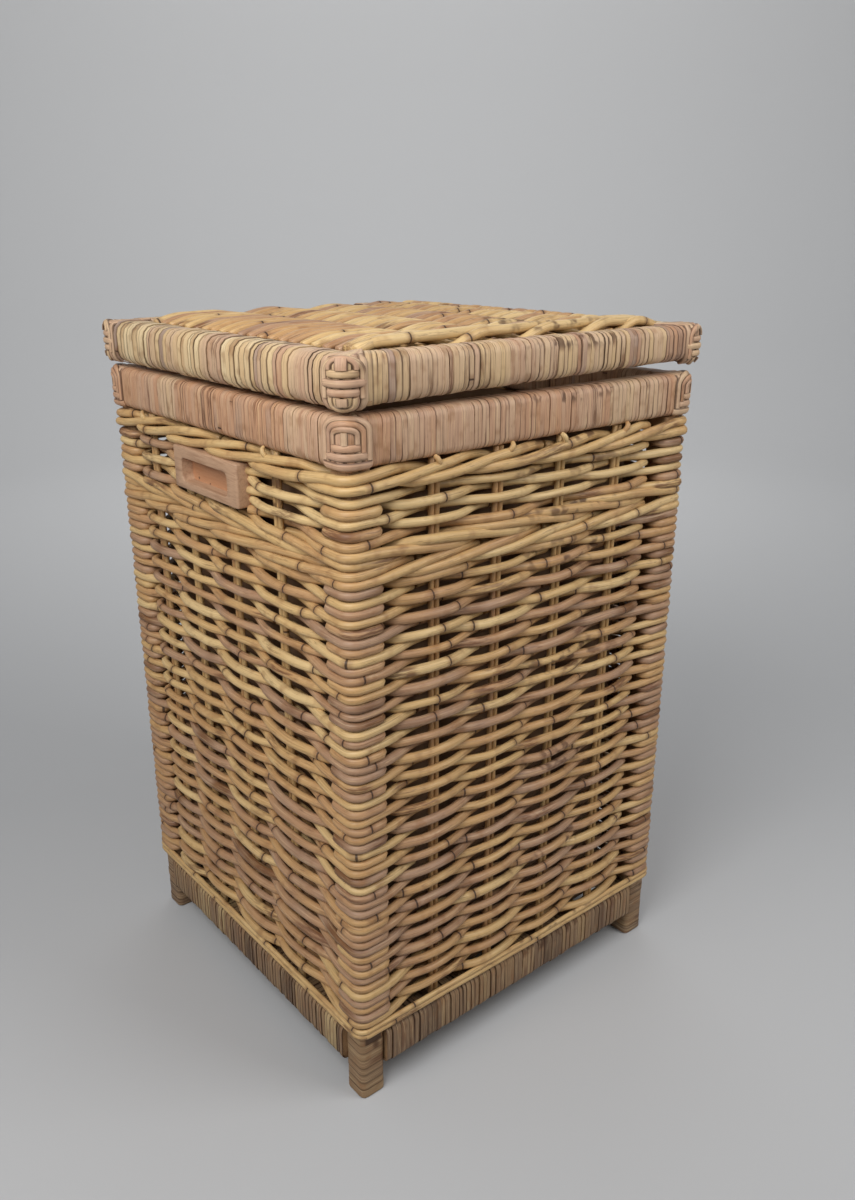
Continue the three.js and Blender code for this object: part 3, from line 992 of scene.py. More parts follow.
base_tones = {
    "front": [PINK, PINK, GREY, ORANGE],
    "left": [CREAM, (0.15, 0.3), PINK, DARK, ORANGE],
    "right": [PALE, PINK, GREY],
    "back": [PALE, PINK, ORANGE, GREY],
}
rim_tones = {
    "front": [PINK, (0.56, 0.66), (0.44, 0.54), (0.60, 0.68), (0.34, 0.44)],
    "left": [PINK, ORANGE, PALE, (0.60, 0.70)],
    "right": [PALE, PINK, ORANGE],
    "back": [PINK, ORANGE, PALE],
}
lid_tones = {
    "front": [PALE, (0.30, 0.44), (0.40, 0.50), (0.22, 0.34), (0.76, 0.84)],
    "left": [CREAM, CREAM, (0.12, 0.26), PALE, GREY, PINK],
    "right": [CREAM, PALE, PINK, GREY],
    "back": [PALE, PINK, (0.12, 0.26)],
}
BASE_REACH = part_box("base_winding_front")[1].x + 1.2 * MM
RIM_REACH = 178 * MM
RIM_INNER_REACH = 165.5 * MM
LID_FRONT_BOTTOM = (616.6 * MM, 622.0 * MM)


def front_lid_bottom(along):
    """The front of the lid is wound a little lower at its left end than at its right end."""
    return np.interp(along, (-RIM_REACH, RIM_REACH), LID_FRONT_BOTTOM)


for side in SIDES:
    rail = rail_of(f"base_winding_{side}", side)
    style = {**TIGHT_STYLE, "bend": 7 * MM, "widths": (0.6, 1.0), "slits": 0.4, "cane": shaded_base_cane}
    if side == "left":
        # The left base has rounder strips and stronger painted shade at their sides.
        style = {**style, "crown": 1.6 * MM, "groove": (0.8, 1.0)}
    reach = (-BASE_REACH, BASE_REACH)
    piece = wind_rail(f"base_winding_cane_{side}", side, rail, *reach, base_tones[side], style)
    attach(piece, "hamper")
    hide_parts(f"base_winding_{side}")

    rail = rail_of(f"rim_winding_{side}", side)
    reach = (-RIM_REACH, RIM_REACH)
    name = f"rim_winding_cane_{side}"
    piece = wind_rail(name, side, rail, *reach, rim_tones[side], FLAT_STYLE, RIM_INNER_REACH)
    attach(piece, "hamper")
    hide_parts(f"rim_winding_{side}")

LID_REACHES = {
    "front": (178, 178, 159),
    "right": (178, 174.5, 169),
    "back": (178, 178, 159),
    "left": (174.5, 178, 169),
}
for side, (left_reach, right_reach, inner_reach) in LID_REACHES.items():
    rail = rail_of(f"lid_winding_{side}", side)
    bottom_at = front_lid_bottom if side == "front" else None
    piece = wind_rail(
        f"lid_winding_cane_{side}", side, rail, -left_reach * MM, right_reach * MM,
        lid_tones[side], ROUND_STYLE if side == "left" else TIGHT_STYLE, inner_reach * MM, bottom_at,
    )
    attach(piece, "lid")
    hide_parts(f"lid_winding_{side}")

# %% [markdown]
# The strips on the left of the lid are the roundest, and the rail under them is rounded to suit,
# so that it stays out of sight in the grooves between the strips.

# %% The round rail at the left of the lid
CORE_TRIM = Vector((4.6, 0, 4.6)) * MM
CORE_BEND = 10 * MM
low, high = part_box("lid_rail_left")
core = new_block("lid_rail_core_left", (low + high) / 2, high - low - CORE_TRIM)
select_edges(core, lambda a, b: near(a.x, b.x) and near(a.z, b.z))
bpy.ops.mesh.bevel(offset=CORE_BEND, segments=5, affect="EDGES")
bpy.ops.object.mode_set(mode="OBJECT")
bpy.ops.object.shade_smooth_by_angle(angle=math.radians(40))
core.data.materials.append(rail_wood_y)
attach(core, "lid")
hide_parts("lid_rail_left")
print(core.name, triangles(core), "triangles")

# %% [markdown]
# The feet are wound level, each turn round the square post. The same kind of turn serves, laid
# flat, with a wider strip.

# %% Winding the feet
FOOT_STRIP = 8.2 * MM
for corner, (sx, sy) in zip(CORNERS, CORNER_SIGNS):
    low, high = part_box(f"foot_winding_{corner}")
    middle = (low + high) / 2
    turn = one_turn("foot_turn", high.x - low.x, high.y - low.y, 5.5 * MM)
    count = round((high.z - low.z) / FOOT_STRIP)
    tones = tone_runs([PINK, (0.55, 0.68), GREY], 4, 0.08)
    spots = []
    for i in range(count):
        z = low.z + (i + 0.5) * (high.z - low.z) / count
        swell = 1 + draw.uniform(-0.3, 0.3) * MM / (high.x - low.x) * 2
        lean = (draw.uniform(-0.02, 0.02), draw.uniform(-0.02, 0.02))

        def place(base, z=z, swell=swell, lean=lean):
            x, y = base[:, 0] * swell, base[:, 1] * swell
            up = base[:, 2] * (high.z - low.z) / count / STRIP + x * lean[0] + y * lean[1]
            return np.stack((middle.x + x, middle.y + y, np.maximum(z + up, low.z)), axis=1)

        spots.append((place, clamp(next(tones))))
    foot = copies(f"foot_winding_cane_{corner}", turn, spots, shaded_base_cane)
    bpy.data.objects.remove(turn)
    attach(foot, "hamper")
    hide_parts(f"foot_winding_{corner}")
    print(foot.name, count, "turns")

# %% [markdown]
# ## Plaited corner caps
# At each corner of the rim and of the lid the mitre is hidden under a small plaited cap: level
# bars round the corner, and arches that come up beside them and go over the top edge. Each strip
# follows the corner's rounded surface. A path on that surface is given by two lengths: `s`, round
# the corner from its middle, and `up`, over the surface from the bottom edge. A flat section is
# swept along it by hand, because a curve's bevel would twist where the path turns.

# %% Strips on a corner
RIBBON = np.array(((-0.5, -0.10), (-0.44, 0.62), (-0.18, 1.0), (0.18, 1.0), (0.44, 0.62), (0.5, -0.10)))
CAP_ROUND = 9 * MM


class Corner:
    """The outer surface of a rail frame's corner, with rounded edges."""

    def __init__(self, index, point, bottom, top, bend):
        c, s = quarter_turns(index)
        self.right = np.array((c, s, 0.0))
        self.left = np.array((-s, c, 0.0))
        self.point = np.array((*point, 0.0))
        self.bottom, self.top, self.bend = bottom, top, bend

    def place(self, s, up, lift=0.0):
        """The place on the surface and the way out of it."""
        arc = CAP_ROUND * math.pi / 4
        share = clamp((s + arc) / (2 * arc))
        beta = share * math.pi / 2
        outward = -(math.cos(beta) * self.right + math.sin(beta) * self.left)
        base = self.point + CAP_ROUND * (self.right + self.left) + CAP_ROUND * outward
        base = base + self.right * max(s - arc, 0) + self.left * max(-s - arc, 0)
        quarter = self.bend * math.pi / 2
        flat = self.top - self.bottom - 2 * self.bend
        if up < quarter:
            angle = up / self.bend - math.pi / 2
            z = self.bottom + self.bend + self.bend * math.sin(angle)
        elif up < quarter + flat:
            angle = 0.0
            z = self.bottom + self.bend + up - quarter
        else:
            angle = min((up - quarter - flat) / self.bend, math.pi / 2)
            z = self.top - self.bend + self.bend * math.sin(angle)
        inward = self.bend * (1 - math.cos(angle)) + max(up - 2 * quarter - flat, 0)
        normal = outward * math.cos(angle) + np.array((0, 0, math.sin(angle)))
        return base - outward * inward + np.array((0, 0, z)) + normal * lift, normal

    def height(self, z):
        """The length `up` of a height on the flat part of the corner."""
        return self.bend * math.pi / 2 + z - self.bottom - self.bend


def ribbon(points, normals, width, thick, tone):
    """A strip with a crowned section, swept along a path on a surface."""
    points, normals = np.array(points), np.array(normals)
    width = np.broadcast_to(width, len(points))[:, None, None]
    along = np.gradient(points, axis=0)
    along /= np.linalg.norm(along, axis=1, keepdims=True)
    across = np.cross(along, normals)
    across /= np.linalg.norm(across, axis=1, keepdims=True)
    normals = np.cross(across, along)
    section = RIBBON[None] * (1, thick)
    rings = points[:, None] + across[:, None] * section[..., :1] * width + normals[:, None] * section[..., 1:]
    lengths = route_lengths(points)
    sides = len(RIBBON)
    straight = np.zeros((*rings.shape[:2], 3))
    straight[..., 0] = lengths[:, None]
    straight[..., 2] = RIBBON[None, :, 0] * width[..., 0] + draw.uniform(0, 40)
    faces = [
        (i * sides + k, i * sides + (k + 1) % sides, (i + 1) * sides + (k + 1) % sides, (i + 1) * sides + k)
        for i in range(len(points) - 1)
        for k in range(sides)
    ]
    faces.append(tuple(range(sides - 1, -1, -1)))
    faces.append(tuple((len(points) - 1) * sides + k for k in range(sides)))
    return rings.reshape(-1, 3), faces, straight.reshape(-1, 3), tone


def mesh_of_ribbons(name, ribbons, material):
    points, faces, straight, tones = [], [], [], []
    start = 0
    for ring_points, ring_faces, laid, tone in ribbons:
        points.append(ring_points)
        faces += [tuple(index + start for index in face) for face in ring_faces]
        straight.append(laid)
        tones.append(np.full(len(ring_points), tone))
        start += len(ring_points)
    mesh = bpy.data.meshes.new(name)
    mesh.from_pydata(np.concatenate(points).tolist(), [], faces)
    # Ribbon sides get the edge value, which the material darkens: painted shade where strips meet.
    edge = np.tile(np.clip(np.abs(RIBBON[:, 0]) - 0.18, 0, 1) / 0.32, start // len(RIBBON))
    write_pattern(mesh, np.concatenate(straight), np.concatenate(tones), np.full(start, 0.3), edge)
    mesh.materials.append(material)
    piece = new_piece(name, mesh)
    bpy.ops.object.mode_set(mode="EDIT")
    bpy.ops.mesh.select_all(action="SELECT")
    bpy.ops.mesh.normals_make_consistent(inside=False)
    bpy.ops.object.mode_set(mode="OBJECT")
    bpy.ops.object.shade_smooth_by_angle(angle=math.radians(50))
    return piece


def bar(corner, z, reach, width, tone, lift=0.4):
    """A level strip round the corner, its ends tucked in."""
    ways = np.linspace(-reach, reach, 25) * MM
    ends = np.clip((np.abs(ways) - (reach - 2.5) * MM) / (2.5 * MM), 0, 1)
    placed = [corner.place(s, corner.height(z), lift * MM - e * 2.0 * MM) for s, e in zip(ways, ends)]
    return ribbon(*zip(*placed), width * MM, 2.2 * MM, tone)


def arch(corner, leg, foot, spring, rise, width, tone, lift=0.2):
    """A strip that comes up on one side, bends over and goes down on the other side."""
    turns = np.linspace(0, math.pi, 15)
    way = [(leg, z) for z in np.linspace(foot, spring, 5)[:-1]]
    way += [(leg * math.cos(a), spring + rise * math.sin(a)) for a in turns]
    way += [(-leg, z) for z in np.linspace(spring, foot, 5)[1:]]
    placed = [corner.place(s * MM, corner.height(z * MM), lift * MM) for s, z in way]
    return ribbon(*zip(*placed), width * MM, 2.1 * MM, tone)


def upright_strip(corner, s, low, high, width, tone, lift=0.0, inner=None, weave=None):
    """A strip up the corner, over the top edge and in to the inner corner of the mitre."""
    placed = []
    for up in np.linspace(low * MM, high * MM, 18):
        over = weave(up) if weave else 0.0
        placed.append(corner.place(s * MM, up, (lift + over) * MM))
    widths = [width * MM] * len(placed)
    if inner is not None:
        last = placed[-1][0]
        for share in (0.35, 0.7, 1.0):
            placed.append((last + (inner - last) * share, np.array((0, 0, 1.0))))
            widths.append(width * MM * (1 - 0.6 * share))
    return ribbon(*zip(*placed), widths, 2.1 * MM, tone)


RIM_UPRIGHTS = (-17, -10.5, -4, 4, 10.5, 17)
RIM_BARS = ((4.6, 22), (11.2, 18), (17.6, 12))
LID_UPRIGHTS = (-18, -11, -4, 4, 11, 18)
LID_BARS = ((13.2, 13.2, 0.2), (19.6, 18.5, 0.9), (26.0, 13.2, 0.2))


def rim_cap(name, index, point, inner):
    corner = Corner(index, point, RIM_LOW.z, RIM_HIGH.z, 7 * MM)
    low = RIM_LOW.z / MM

    def tone():
        return draw.uniform(0.34, 0.66)

    strips = [upright_strip(corner, s, 0.5, 42, 7, tone(), -0.9, inner) for s in RIM_UPRIGHTS]
    strips += [bar(corner, (low + z) * MM, reach, 6.4, tone()) for z, reach in RIM_BARS]
    orange = draw.uniform(0.68, 0.76)
    strips.append(arch(corner, 19.5, low + 8, low + 29, 9.5, 5.6, tone()))
    strips.append(arch(corner, 14.2, low + 14, low + 27.5, 7.2, 5.2, orange, 0.5))
    strips.append(arch(corner, 8.8, low + 20.5, low + 26.5, 4.8, 4.8, tone(), 0.7))
    strips.append(upright_strip(corner, 0, 24, 33, 5.5, tone(), 0.6))
    return mesh_of_ribbons(name, strips, split_cane)


def lid_cap(name, index, point, bottom, top, inner):
    corner = Corner(index, point, bottom, top, 9 * MM)

    def tone():
        return draw.uniform(0.25, 0.60)

    head = top / MM
    strips = [upright_strip(corner, s, 1.0, 41, 7, tone(), -1.1, inner) for s in LID_UPRIGHTS]
    strips += [bar(corner, (head - z) * MM, reach, 6.2, tone(), lift) for z, reach, lift in LID_BARS]
    strips.append(arch(corner, 16, head - 30, head - 12, 9.0, 5.6, tone(), 0.2))
    strips.append(arch(corner, 10.4, head - 10.5, head - 9.5, 6.5, 4.8, tone(), 0.6))
    strips.append(upright_strip(corner, 0, head_up(corner, 10.5), head_up(corner, 3.5), 9.5, tone(), 1.0))
    strips.append(arch(corner, 9.0, head - 29.5, head - 34, -4.0, 4.6, tone(), 0.4))
    strips.append(upright_strip(corner, 0, head_up(corner, 34), head_up(corner, 29.5), 9.0, tone(), 0.8))
    return mesh_of_ribbons(name, strips, split_cane)


def head_up(corner, below):
    """The length `up`, in millimetres, of a height so far below the top."""
    return corner.height(corner.top - below * MM) / MM


LID_LOW, LID_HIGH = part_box("lid_winding_left")
LID_FRONT_LOW, LID_FRONT_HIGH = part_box("lid_winding_front")
LID_BACK_LOW, LID_BACK_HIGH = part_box("lid_winding_back")
RIM_INNER = RIM_HIGH.y
FLAP_DEPTH = 2.2 * MM
for index, (corner, (sx, sy)) in enumerate(zip(CORNERS, CORNER_SIGNS)):
    inner = np.array((-sx * RIM_INNER, -sy * RIM_INNER, RIM_HIGH.z - FLAP_DEPTH))
    cap = rim_cap(f"rim_cap_{corner}", index, (sx * RIM_OUT, sy * RIM_OUT), inner)
    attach(cap, "hamper")

    front = sy < 0
    y = LID_FRONT_LOW.y if front else LID_BACK_HIGH.y
    inner_y = LID_FRONT_HIGH.y if front else LID_BACK_LOW.y
    bottom = 616.5 * MM if sx < 0 else LID_FRONT_LOW.z + 0.5 * MM
    inner = np.array((sx * 162 * MM, inner_y, LID_HIGH.z - FLAP_DEPTH))
    cap = lid_cap(f"lid_cap_{corner}", index, (sx * -LID_LOW.x, y), bottom, LID_HIGH.z, inner)
    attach(cap, "lid")
    print(cap.name, triangles(cap), "triangles")

# %% [markdown]
# ## Woven panels
# The lid's panel and the floor are plain weaving too, laid flat. Four ribs run from front to
# back, and the rows run from side to side, over one rib and under the next. In the lid the ends
# of all rows come up from under the side winding, so they lie side by side over a shoulder
# before they part. The front-most rows are waling again, long pale strokes that slant over each
# other.

# %% Ribs and rows
RIBS = (-106, -36, 36, 106)


def rib_lane(x, over, ends):
    """How high (+1) or low (-1) a row is at x. over says so for each rib, ends at its two ends."""
    places = [-ends[0], *[rib * MM for rib in RIBS], ends[0]]
    signs = [ends[1], *over, ends[1]]
    for i in range(len(places) - 1):
        if x <= places[i + 1] or i == len(places) - 2:
            share = clamp((x - places[i]) / (places[i + 1] - places[i]))
            swing = 0.5 - 0.5 * math.cos(math.pi * share)
            return signs[i] + (signs[i + 1] - signs[i]) * swing


def plain_over(row):
    """Over one rib and under the next, and the other way round in the next row."""
    return [1 - 2 * ((row + i) % 2) for i in range(len(RIBS))]


def rib_canes(name, ribs, y_range, z_at, radius, body, nodes):
    canes = []
    for rib in ribs:
        ys = np.linspace(*y_range, 40)
        own = draw.uniform(0, 90)
        sway = [0.8 * MM * noise.noise(Vector((y * 12, own, 0))) for y in ys]
        points = [(rib * MM + aside, y, z_at(rib * MM, y)) for aside, y in zip(sway, ys)]
        canes.append(cane(points, radius, draw.uniform(0.3, 0.7), 0.3))
    piece = mesh_of_canes(name, canes, round_cane)
    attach(piece, body)
    if nodes:
        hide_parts(*nodes)
    return piece


LID_WEAVE_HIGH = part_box("lid_weave")[1]
RIBS_LOW, RIBS_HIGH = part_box("lid_ribs")
RIB_R = (RIBS_HIGH.z - RIBS_LOW.z) / 2
RIB_Z = (RIBS_HIGH.z + RIBS_LOW.z) / 2
LID_ROW = 7.9 * MM
LID_CANE_R = 3.55 * MM
LID_REACH = 165 * MM
SHOULDER = 137 * MM
LID_CROWN = 2.0 * MM


def crown(x, y):
    """The lid's panel stands a little higher in the middle."""
    return LID_CROWN * max(1 - (x / LID_REACH) ** 2, 0) * max(1 - (y / LID_REACH) ** 2, 0)


def panel_height(x, y, front):
    edge = clamp((LID_REACH - abs(x)) / (LID_REACH - SHOULDER))
    middle = RIB_Z + crown(x, y) + front * (RIB_R + LID_CANE_R - 0.2 * MM)
    return middle - 5.5 * MM * (1 - math.sin(edge * math.pi / 2))


def lid_row(row, y):
    own = draw.uniform(0, 90)
    points = []
    shoulder = 0.95 if row % 2 == 0 else 0.25
    for x in np.linspace(-LID_REACH, LID_REACH, 64):
        front = rib_lane(x, plain_over(row), (SHOULDER, shoulder))
        drift = 2.2 * MM * noise.noise(Vector((x * 9, y * 9, 2)))
        drift += 1.6 * MM * noise.noise(Vector((x * 16, own, 5)))
        points.append((x, y + drift, panel_height(x, y, front)))
    chance = draw.random()
    tone = draw.uniform(0.05, 0.35) if chance < 0.45 else draw.uniform(0.4, 0.9)
    return points, tone


def lid_wale(rod, y):
    """A pale rod of the band along the front edge, over two ribs and under one."""
    over = [-1 if (i + rod) % 3 == 0 else 1 for i in range(4)]
    places = [-LID_REACH, *[rib * MM for rib in RIBS], LID_REACH]
    points = []
    for x in np.linspace(-LID_REACH, LID_REACH, 64):
        at = np.interp(x, places, range(-1, 5))
        front = rib_lane(x, over, (SHOULDER, 0.9))
        lift = 2.4 * MM * max(front, 0)
        drift = 1.5 * MM * noise.noise(Vector((x * 8, rod, 5)))
        points.append((x, y + 8.5 * MM * slant(at + rod) + drift, panel_height(x, y, front) + lift))
    return points, draw.uniform(0.0, 0.22)


WALE_Y = -163 * MM
canes = []
first_row, last_row = WALE_Y + 15 * MM, LID_WEAVE_HIGH.y - 2.5 * MM
rows = np.linspace(first_row, last_row, round((last_row - first_row) / LID_ROW) + 1)
for row, y in enumerate(rows):
    points, tone = lid_row(row, y)
    canes.append(cane(points, uneven(LID_CANE_R * draw.uniform(0.86, 1.1), len(points)), tone, 0.2))
for rod in range(3):
    points, tone = lid_wale(rod, WALE_Y)
    canes.append(cane(points, uneven(WALE_R, len(points)), tone, 0.25))
lid_panel = mesh_of_canes("lid_panel_cane", canes, round_cane)
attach(lid_panel, "lid")
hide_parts("lid_weave")
print(lid_panel.name, len(canes), "canes", triangles(lid_panel), "triangles")

rib_range = (RIBS_LOW.y, RIBS_HIGH.y)
rib_canes("lid_rib_canes", RIBS, rib_range, lambda x, y: RIB_Z + crown(x, y), RIB_R, "lid", ["lid_ribs"])

# %% The floor
FLOOR_LOW, FLOOR_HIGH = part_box("floor_panel")
FLOOR_Z = (FLOOR_LOW.z + FLOOR_HIGH.z) / 2
FLOOR_R = 2.5 * MM
FLOOR_RIB_R = 1.7 * MM
FLOOR_ROW = 5.6 * MM
floor_in = POST_IN - 3 * MM
canes = []
for row, y in enumerate(np.arange(FLOOR_LOW.y + 3 * MM, FLOOR_HIGH.y, FLOOR_ROW)):
    reach = floor_in if abs(y) > floor_in else FLOOR_HIGH.x
    points = []
    for x in np.linspace(-reach, reach, 60):
        front = rib_lane(x, plain_over(row), (reach, 0))
        drift = 1.2 * MM * noise.noise(Vector((x * 9, y * 9, 7)))
        points.append((x, y + drift, FLOOR_Z + front * (FLOOR_R + FLOOR_RIB_R - 0.3 * MM)))
    # The floor canes take the tones of a low row, with their painted shade.
    canes.append(cane(points, FLOOR_R * draw.uniform(0.9, 1.06), pick_tone(0.2), 0.2))
floor_cane = mesh_of_canes("floor_cane", canes, round_cane)
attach(floor_cane, "hamper")
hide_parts("floor_panel")
floor_range = (FLOOR_LOW.y, FLOOR_HIGH.y)
rib_canes("floor_ribs", RIBS, floor_range, lambda x, y: FLOOR_Z, FLOOR_RIB_R, "hamper", [])
print(floor_cane.name, len(canes), "canes", triangles(floor_cane), "triangles")

# %% [markdown]
# ## Liner
# A dark cotton bag keeps the laundry off the cane. It shows only as the dark behind the gaps,
# and when the lid is open. It is a box of cloth: a cube without its top, its upright corners
# rounded by a bevel, cut into small faces, and pushed in and out a little in long upright folds,
# as cloth hangs. A folded hem runs round the top, where it is stitched to the highest rows.
# A simulation would add nothing here, because the walls hold the bag in its shape.

# %% The cloth bag
LINER_LOW, LINER_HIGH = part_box("liner")
CLOTH_THICK = 1.0 * MM
LINER_ROUND = 45 * MM
HEM_HEIGHT = 16 * MM
FOLD_DEPTH = 2.6 * MM
LEVEL_CUTS = 15
UPRIGHT_CUT_GAP = 22 * MM


def liner_material():
    material, shader, wire = new_material("liner_cloth")
    place = wire.make("ShaderNodeTexCoord", {}, {}, "Object")
    threads = place.times((2600, 2600, 40)).noise(1.0, 2.0) + place.times((40, 40, 2600)).noise(1.0, 2.0)
    cloud = place.times((14, 14, 14)).noise(1.0, 3.0)
    colour = (threads * 0.3 + cloud * 0.4).ramp([(0.35, paint(112, 84, 60)), (0.65, paint(142, 110, 82))])
    feed(shader, colour, "Base Color")
    feed(shader, 0.85 + threads * 0.08, "Roughness")
    feed_bump(shader, threads, 0.4, 0.4 * MM)
    return material


def fold(place):
    """How far the cloth is pulled in at a place: long upright folds, none at the hem and floor."""
    round_the_bag = math.atan2(place.y, place.x)
    share = (place.z - LINER_LOW.z) / (LINER_HIGH.z - LINER_LOW.z)
    waves = noise.noise(Vector((math.cos(round_the_bag) * 6, math.sin(round_the_bag) * 6, share * 1.2)))
    return FOLD_DEPTH * (0.5 + waves) * min(share * 8, 1) * clamp((1 - share) * 8 - 0.3)


liner_size = LINER_HIGH - LINER_LOW
liner = new_block("liner_bag", (LINER_LOW + LINER_HIGH) / 2, liner_size)
select_faces(liner, lambda face: face.normal.z > 0.9)
bpy.ops.mesh.delete(type="FACE")
select_edges(liner, lambda a, b: near(a.x, b.x) and near(a.y, b.y))
bpy.ops.mesh.bevel(offset=LINER_ROUND, segments=8, affect="EDGES")
hem_foot = LINER_HIGH.z - HEM_HEIGHT
cut_gap = (hem_foot - LINER_LOW.z) / LEVEL_CUTS
levels = [LINER_LOW.z + cut * cut_gap for cut in range(1, LEVEL_CUTS + 1)]
for height in levels + [hem_foot + MM]:
    bpy.ops.mesh.select_all(action="SELECT")
    bpy.ops.mesh.bisect(plane_co=(0, 0, height), plane_no=(0, 0, 1))
for normal in (Vector((1, 0, 0)), Vector((0, 1, 0))):
    for cut in range(-5, 6):
        bpy.ops.mesh.select_all(action="SELECT")
        bpy.ops.mesh.bisect(plane_co=normal * cut * UPRIGHT_CUT_GAP, plane_no=normal)
bpy.ops.object.mode_set(mode="OBJECT")
for vertex in liner.data.vertices:
    if vertex.co.z > LINER_LOW.z + MM:
        reach = math.hypot(vertex.co.x, vertex.co.y)
        pull = 1 - (fold(vertex.co) + FOLD_DEPTH * 0.2) / reach
        vertex.co.x *= pull
        vertex.co.y *= pull
cloth = liner.modifiers.new("cloth", "SOLIDIFY")
cloth.thickness = CLOTH_THICK
cloth.offset = -1
bpy.ops.object.modifier_apply(modifier="cloth")
select_points(liner, lambda place: place.z > hem_foot + MM / 2)
bpy.ops.transform.shrink_fatten(value=0.5 * MM)
bpy.ops.object.mode_set(mode="OBJECT")
bpy.ops.object.shade_smooth_by_angle(angle=math.radians(40))
liner.data.materials.append(liner_material())
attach(liner, "hamper")
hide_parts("liner")
bag_round = 4 * (liner_size.x - 2 * LINER_ROUND) + 2 * math.pi * LINER_ROUND
flat_cloth = (bag_round, liner_size.z + HEM_HEIGHT + liner_size.x / 2)
print(liner.name, triangles(liner), "triangles; cloth", [round(side, 3) for side in flat_cloth])

# %% [markdown]
# ## Handles
# A handle is a block of brown wood set into the wall, with a rounded groove for the fingers that
# doesn't go through. The block starts as a cube of the handle's size. Its outer face is inset,
# fitted to the groove's outline and pushed in, then the groove's corners and all edges are eased
# with bevels, which catch the light as worn wood does.

# %% Handle blocks
GRIP_LOW = (-31 * MM, 525 * MM)
GRIP_HIGH = (50 * MM, 546 * MM)
GRIP_DEPTH = 11.6 * MM
GRIP_ROUND = 6 * MM
GRIP_LIP = 1.4 * MM
GRIP_FOOT = 1.2 * MM
GRIP_INSET = 5 * MM
EASE = 2.2 * MM


def handle_block(name, node):
    low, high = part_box(node)
    middle, size = (low + high) / 2, high - low
    outward = 1 if middle.x > 0 else -1
    face_x = outward * max(abs(low.x), abs(high.x))
    floor_x = face_x - outward * GRIP_DEPTH
    block = new_block(name, middle, size)
    select_faces(block, lambda face: face.normal.x * outward > 0.9)
    bpy.ops.mesh.inset(thickness=GRIP_INSET)
    grip_size = (GRIP_HIGH[0] - GRIP_LOW[0], GRIP_HIGH[1] - GRIP_LOW[1])
    grip_middle = ((GRIP_HIGH[0] + GRIP_LOW[0]) / 2, (GRIP_HIGH[1] + GRIP_LOW[1]) / 2)
    fit = (1, grip_size[0] / (size.y - 2 * GRIP_INSET), grip_size[1] / (size.z - 2 * GRIP_INSET))
    bpy.ops.transform.resize(value=fit, center_override=(face_x, middle.y, middle.z))
    bpy.ops.transform.translate(value=(0, grip_middle[0] - middle.y, grip_middle[1] - middle.z))
    bpy.ops.mesh.extrude_region_move(TRANSFORM_OT_translate={"value": (floor_x - face_x, 0, 0)})

    def in_grip(place):
        level = GRIP_LOW[1] - EASE < place.z < GRIP_HIGH[1] + EASE
        return level and GRIP_LOW[0] - EASE < place.y < GRIP_HIGH[0] + EASE

    def grip_edges_at(x):
        return lambda a, b: in_grip(a) and in_grip(b) and near(a.x, x) and near(b.x, x)

    def block_corner(place):
        return all(near(place[k], low[k]) or near(place[k], high[k]) for k in range(3))

    select_edges(block, lambda a, b: in_grip(a) and in_grip(b) and not near(a.x, b.x))
    bpy.ops.mesh.bevel(offset=GRIP_ROUND, segments=5, affect="EDGES")
    select_edges(block, grip_edges_at(face_x))
    bpy.ops.mesh.bevel(offset=GRIP_LIP, segments=3, affect="EDGES")
    select_edges(block, grip_edges_at(floor_x))
    bpy.ops.mesh.bevel(offset=GRIP_FOOT, segments=2, affect="EDGES")
    select_edges(block, lambda a, b: block_corner(a) and block_corner(b))
    bpy.ops.mesh.bevel(offset=EASE, segments=3, affect="EDGES")
    bpy.ops.object.mode_set(mode="OBJECT")
    bpy.ops.object.shade_smooth_by_angle(angle=math.radians(35))
    block.data.materials.append(handle_wood)
    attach(block, "hamper")
    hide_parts(node)
    print(name, triangles(block), "triangles")


handle_block("handle_block_left", "handle_left")
handle_block("handle_block_right", "handle_right")

# %% [markdown]
# ## Hinge lashings
# The lid has no metal hinge. Three strips of split cane side by side are wound round its back
# rail and tucked in under the rim, at two places. The cane bends in the gap when the lid opens.
# A lashing is one piece here: it lies on the lid above the gap and on the rim below it.

# %% Lashings at the back
LASHING_STRIPS = (-5.8 * MM, 0.0, 5.8 * MM)
LASHING_WIDTH = 5.6 * MM
LASHING_LIFT = 0.4 * MM


def lashing_way():
    """(y, z) and the way out (y, z) along a strip, from inside the lid rail to under the rim."""
    lid_top, lid_bottom = LID_BACK_HIGH.z, LID_BACK_LOW.z
    rim_bottom = RIM_LOW.z
    bend, under_bend = 9 * MM, 5 * MM
    face = LID_BACK_HIGH.y + LASHING_LIFT
    back = LID_BACK_LOW.y - LASHING_LIFT
    way = [((back, z), (-1, 0)) for z in np.linspace(lid_bottom + 6 * MM, lid_top - bend, 6)]
    for a in np.linspace(math.pi, 0, 15)[1:]:
        middle_y = face - bend if a < math.pi / 2 else back + bend
        middle_z = lid_top + LASHING_LIFT - bend
        outward = (math.cos(a), math.sin(a))
        way.append(((middle_y + bend * outward[0], middle_z + bend * outward[1]), outward))
    heights = np.concatenate((
        np.linspace(lid_top - bend, lid_bottom + 2 * MM, 8)[1:],
        np.arange(lid_bottom, RIM_HIGH.z - 4 * MM, -0.8 * MM),
        np.linspace(RIM_HIGH.z - 6 * MM, rim_bottom + under_bend, 8),
    ))
    way += [((face, z), (1, 0)) for z in heights]
    for a in np.linspace(0, -math.pi / 2, 6)[1:]:
        outward = (math.cos(a), math.sin(a))
        y, z = (under_bend * part for part in outward)
        way.append(((face - under_bend + y, rim_bottom + under_bend + z), outward))
    way += [((face - under_bend - step * MM, rim_bottom - 0.1 * MM), (0, -1)) for step in (3, 6)]
    return way


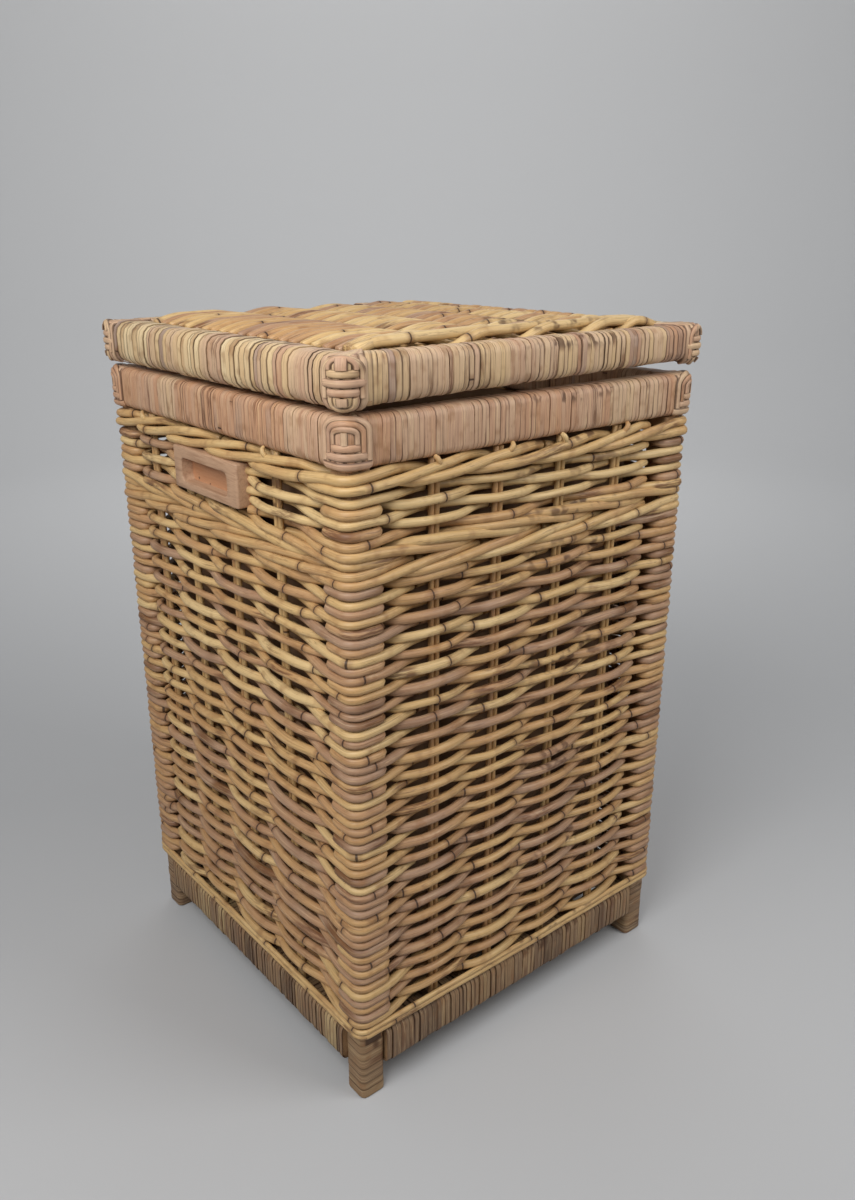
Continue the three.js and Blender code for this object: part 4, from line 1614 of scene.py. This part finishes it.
def lashing(name, x, node):
    strips = []
    for offset in LASHING_STRIPS:
        points = [(x + offset, y, z) for (y, z), _ in lashing_way()]
        normals = [(0, oy, oz) for _, (oy, oz) in lashing_way()]
        strips.append(ribbon(points, normals, LASHING_WIDTH, 1.9 * MM, draw.uniform(0.30, 0.55)))
    piece = mesh_of_ribbons(name, strips, split_cane)
    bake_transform(piece)
    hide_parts(node)
    print(name, triangles(piece), "triangles")


for side_name in ("left", "right"):
    low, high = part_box(f"hinge_binding_{side_name}")
    lashing(f"hinge_lashing_{side_name}", (low.x + high.x) / 2, f"hinge_binding_{side_name}")

# %% [markdown]
# ## Light, floor and camera
# A plain pale floor that bends up into a wall, and soft lights from above and the left. The
# camera stands in front of the near left corner, a little above the lid.

# %% Stage
FLOOR_RADIUS, WALL_BEND, WALL_RISE = 2.6, 1.6, 2.0
deselect()
bpy.ops.mesh.primitive_circle_add(vertices=96, radius=FLOOR_RADIUS, fill_type="NGON", location=(0, 0, 0))
floor = bpy.context.object
floor.name = "stage_floor"
reach, height = FLOOR_RADIUS, 0.0
for angle in np.linspace(0, math.pi / 2, 13)[1:]:
    new_reach = FLOOR_RADIUS + WALL_BEND * math.sin(angle)
    new_height = WALL_BEND * (1 - math.cos(angle))
    select_points(floor, lambda place: near(place.z, height) and math.hypot(place.x, place.y) > reach - MM)
    bpy.ops.mesh.extrude_edges_move(TRANSFORM_OT_translate={"value": (0, 0, new_height - height)})
    share = new_reach / reach
    bpy.ops.transform.resize(value=(share, share, 1), center_override=(0, 0, 0))
    reach, height = new_reach, new_height
bpy.ops.mesh.extrude_edges_move(TRANSFORM_OT_translate={"value": (0, 0, WALL_RISE)})
bpy.ops.object.mode_set(mode="OBJECT")
bpy.ops.object.shade_smooth()
stage_paint, stage_shader, _ = new_material("stage_paint")
stage_shader.inputs["Base Color"].default_value = paint(186, 186, 186)
stage_shader.inputs["Roughness"].default_value = 0.9
floor.data.materials.append(stage_paint)

world = bpy.data.worlds.new("studio")
bpy.context.scene.world = world
world.use_nodes = True
world.node_tree.nodes["Background"].inputs["Color"].default_value = (0.90, 0.94, 1.0, 1)
world.node_tree.nodes["Background"].inputs["Strength"].default_value = 0.38


def soft_light(name, place, aim, size, power):
    light = bpy.data.lights.new(name, "AREA")
    light.size = size
    light.energy = power
    lamp = bpy.data.objects.new(name, light)
    lamp.location = place
    lamp.rotation_euler = (Vector(aim) - Vector(place)).to_track_quat("-Z", "Y").to_euler()
    bpy.context.scene.collection.objects.link(lamp)


soft_light("key", (-0.95, -0.40, 1.25), (0, 0, 0.62), 0.8, 14)
soft_light("fill", (0.55, -1.05, 1.25), (0, 0, 0.62), 0.8, 8.5)
soft_light("back", (1.4, 1.6, 1.9), (0, 0, 0.4), 1.6, 6)
soft_light("backdrop", (0.9, 1.2, 2.6), (2.2, 2.8, 1.6), 1.6, 60)

AIM = Vector((0.0243, -0.0200, 0.3797))
AZIMUTH, ELEVATION, DISTANCE = math.radians(-39.48), math.radians(20.05), 1.0312
back = Vector((
    math.sin(AZIMUTH) * math.cos(ELEVATION),
    -math.cos(AZIMUTH) * math.cos(ELEVATION),
    math.sin(ELEVATION),
))
camera_data = bpy.data.cameras.new("camera")
camera_data.lens = 30.35
camera_data.sensor_width = 36
camera = bpy.data.objects.new("camera", camera_data)
camera.location = AIM + back * DISTANCE
camera.rotation_euler = (-back).to_track_quat("-Z", "Y").to_euler()
bpy.context.scene.collection.objects.link(camera)
bpy.context.scene.camera = camera
bpy.context.scene.view_settings.view_transform = "Standard"
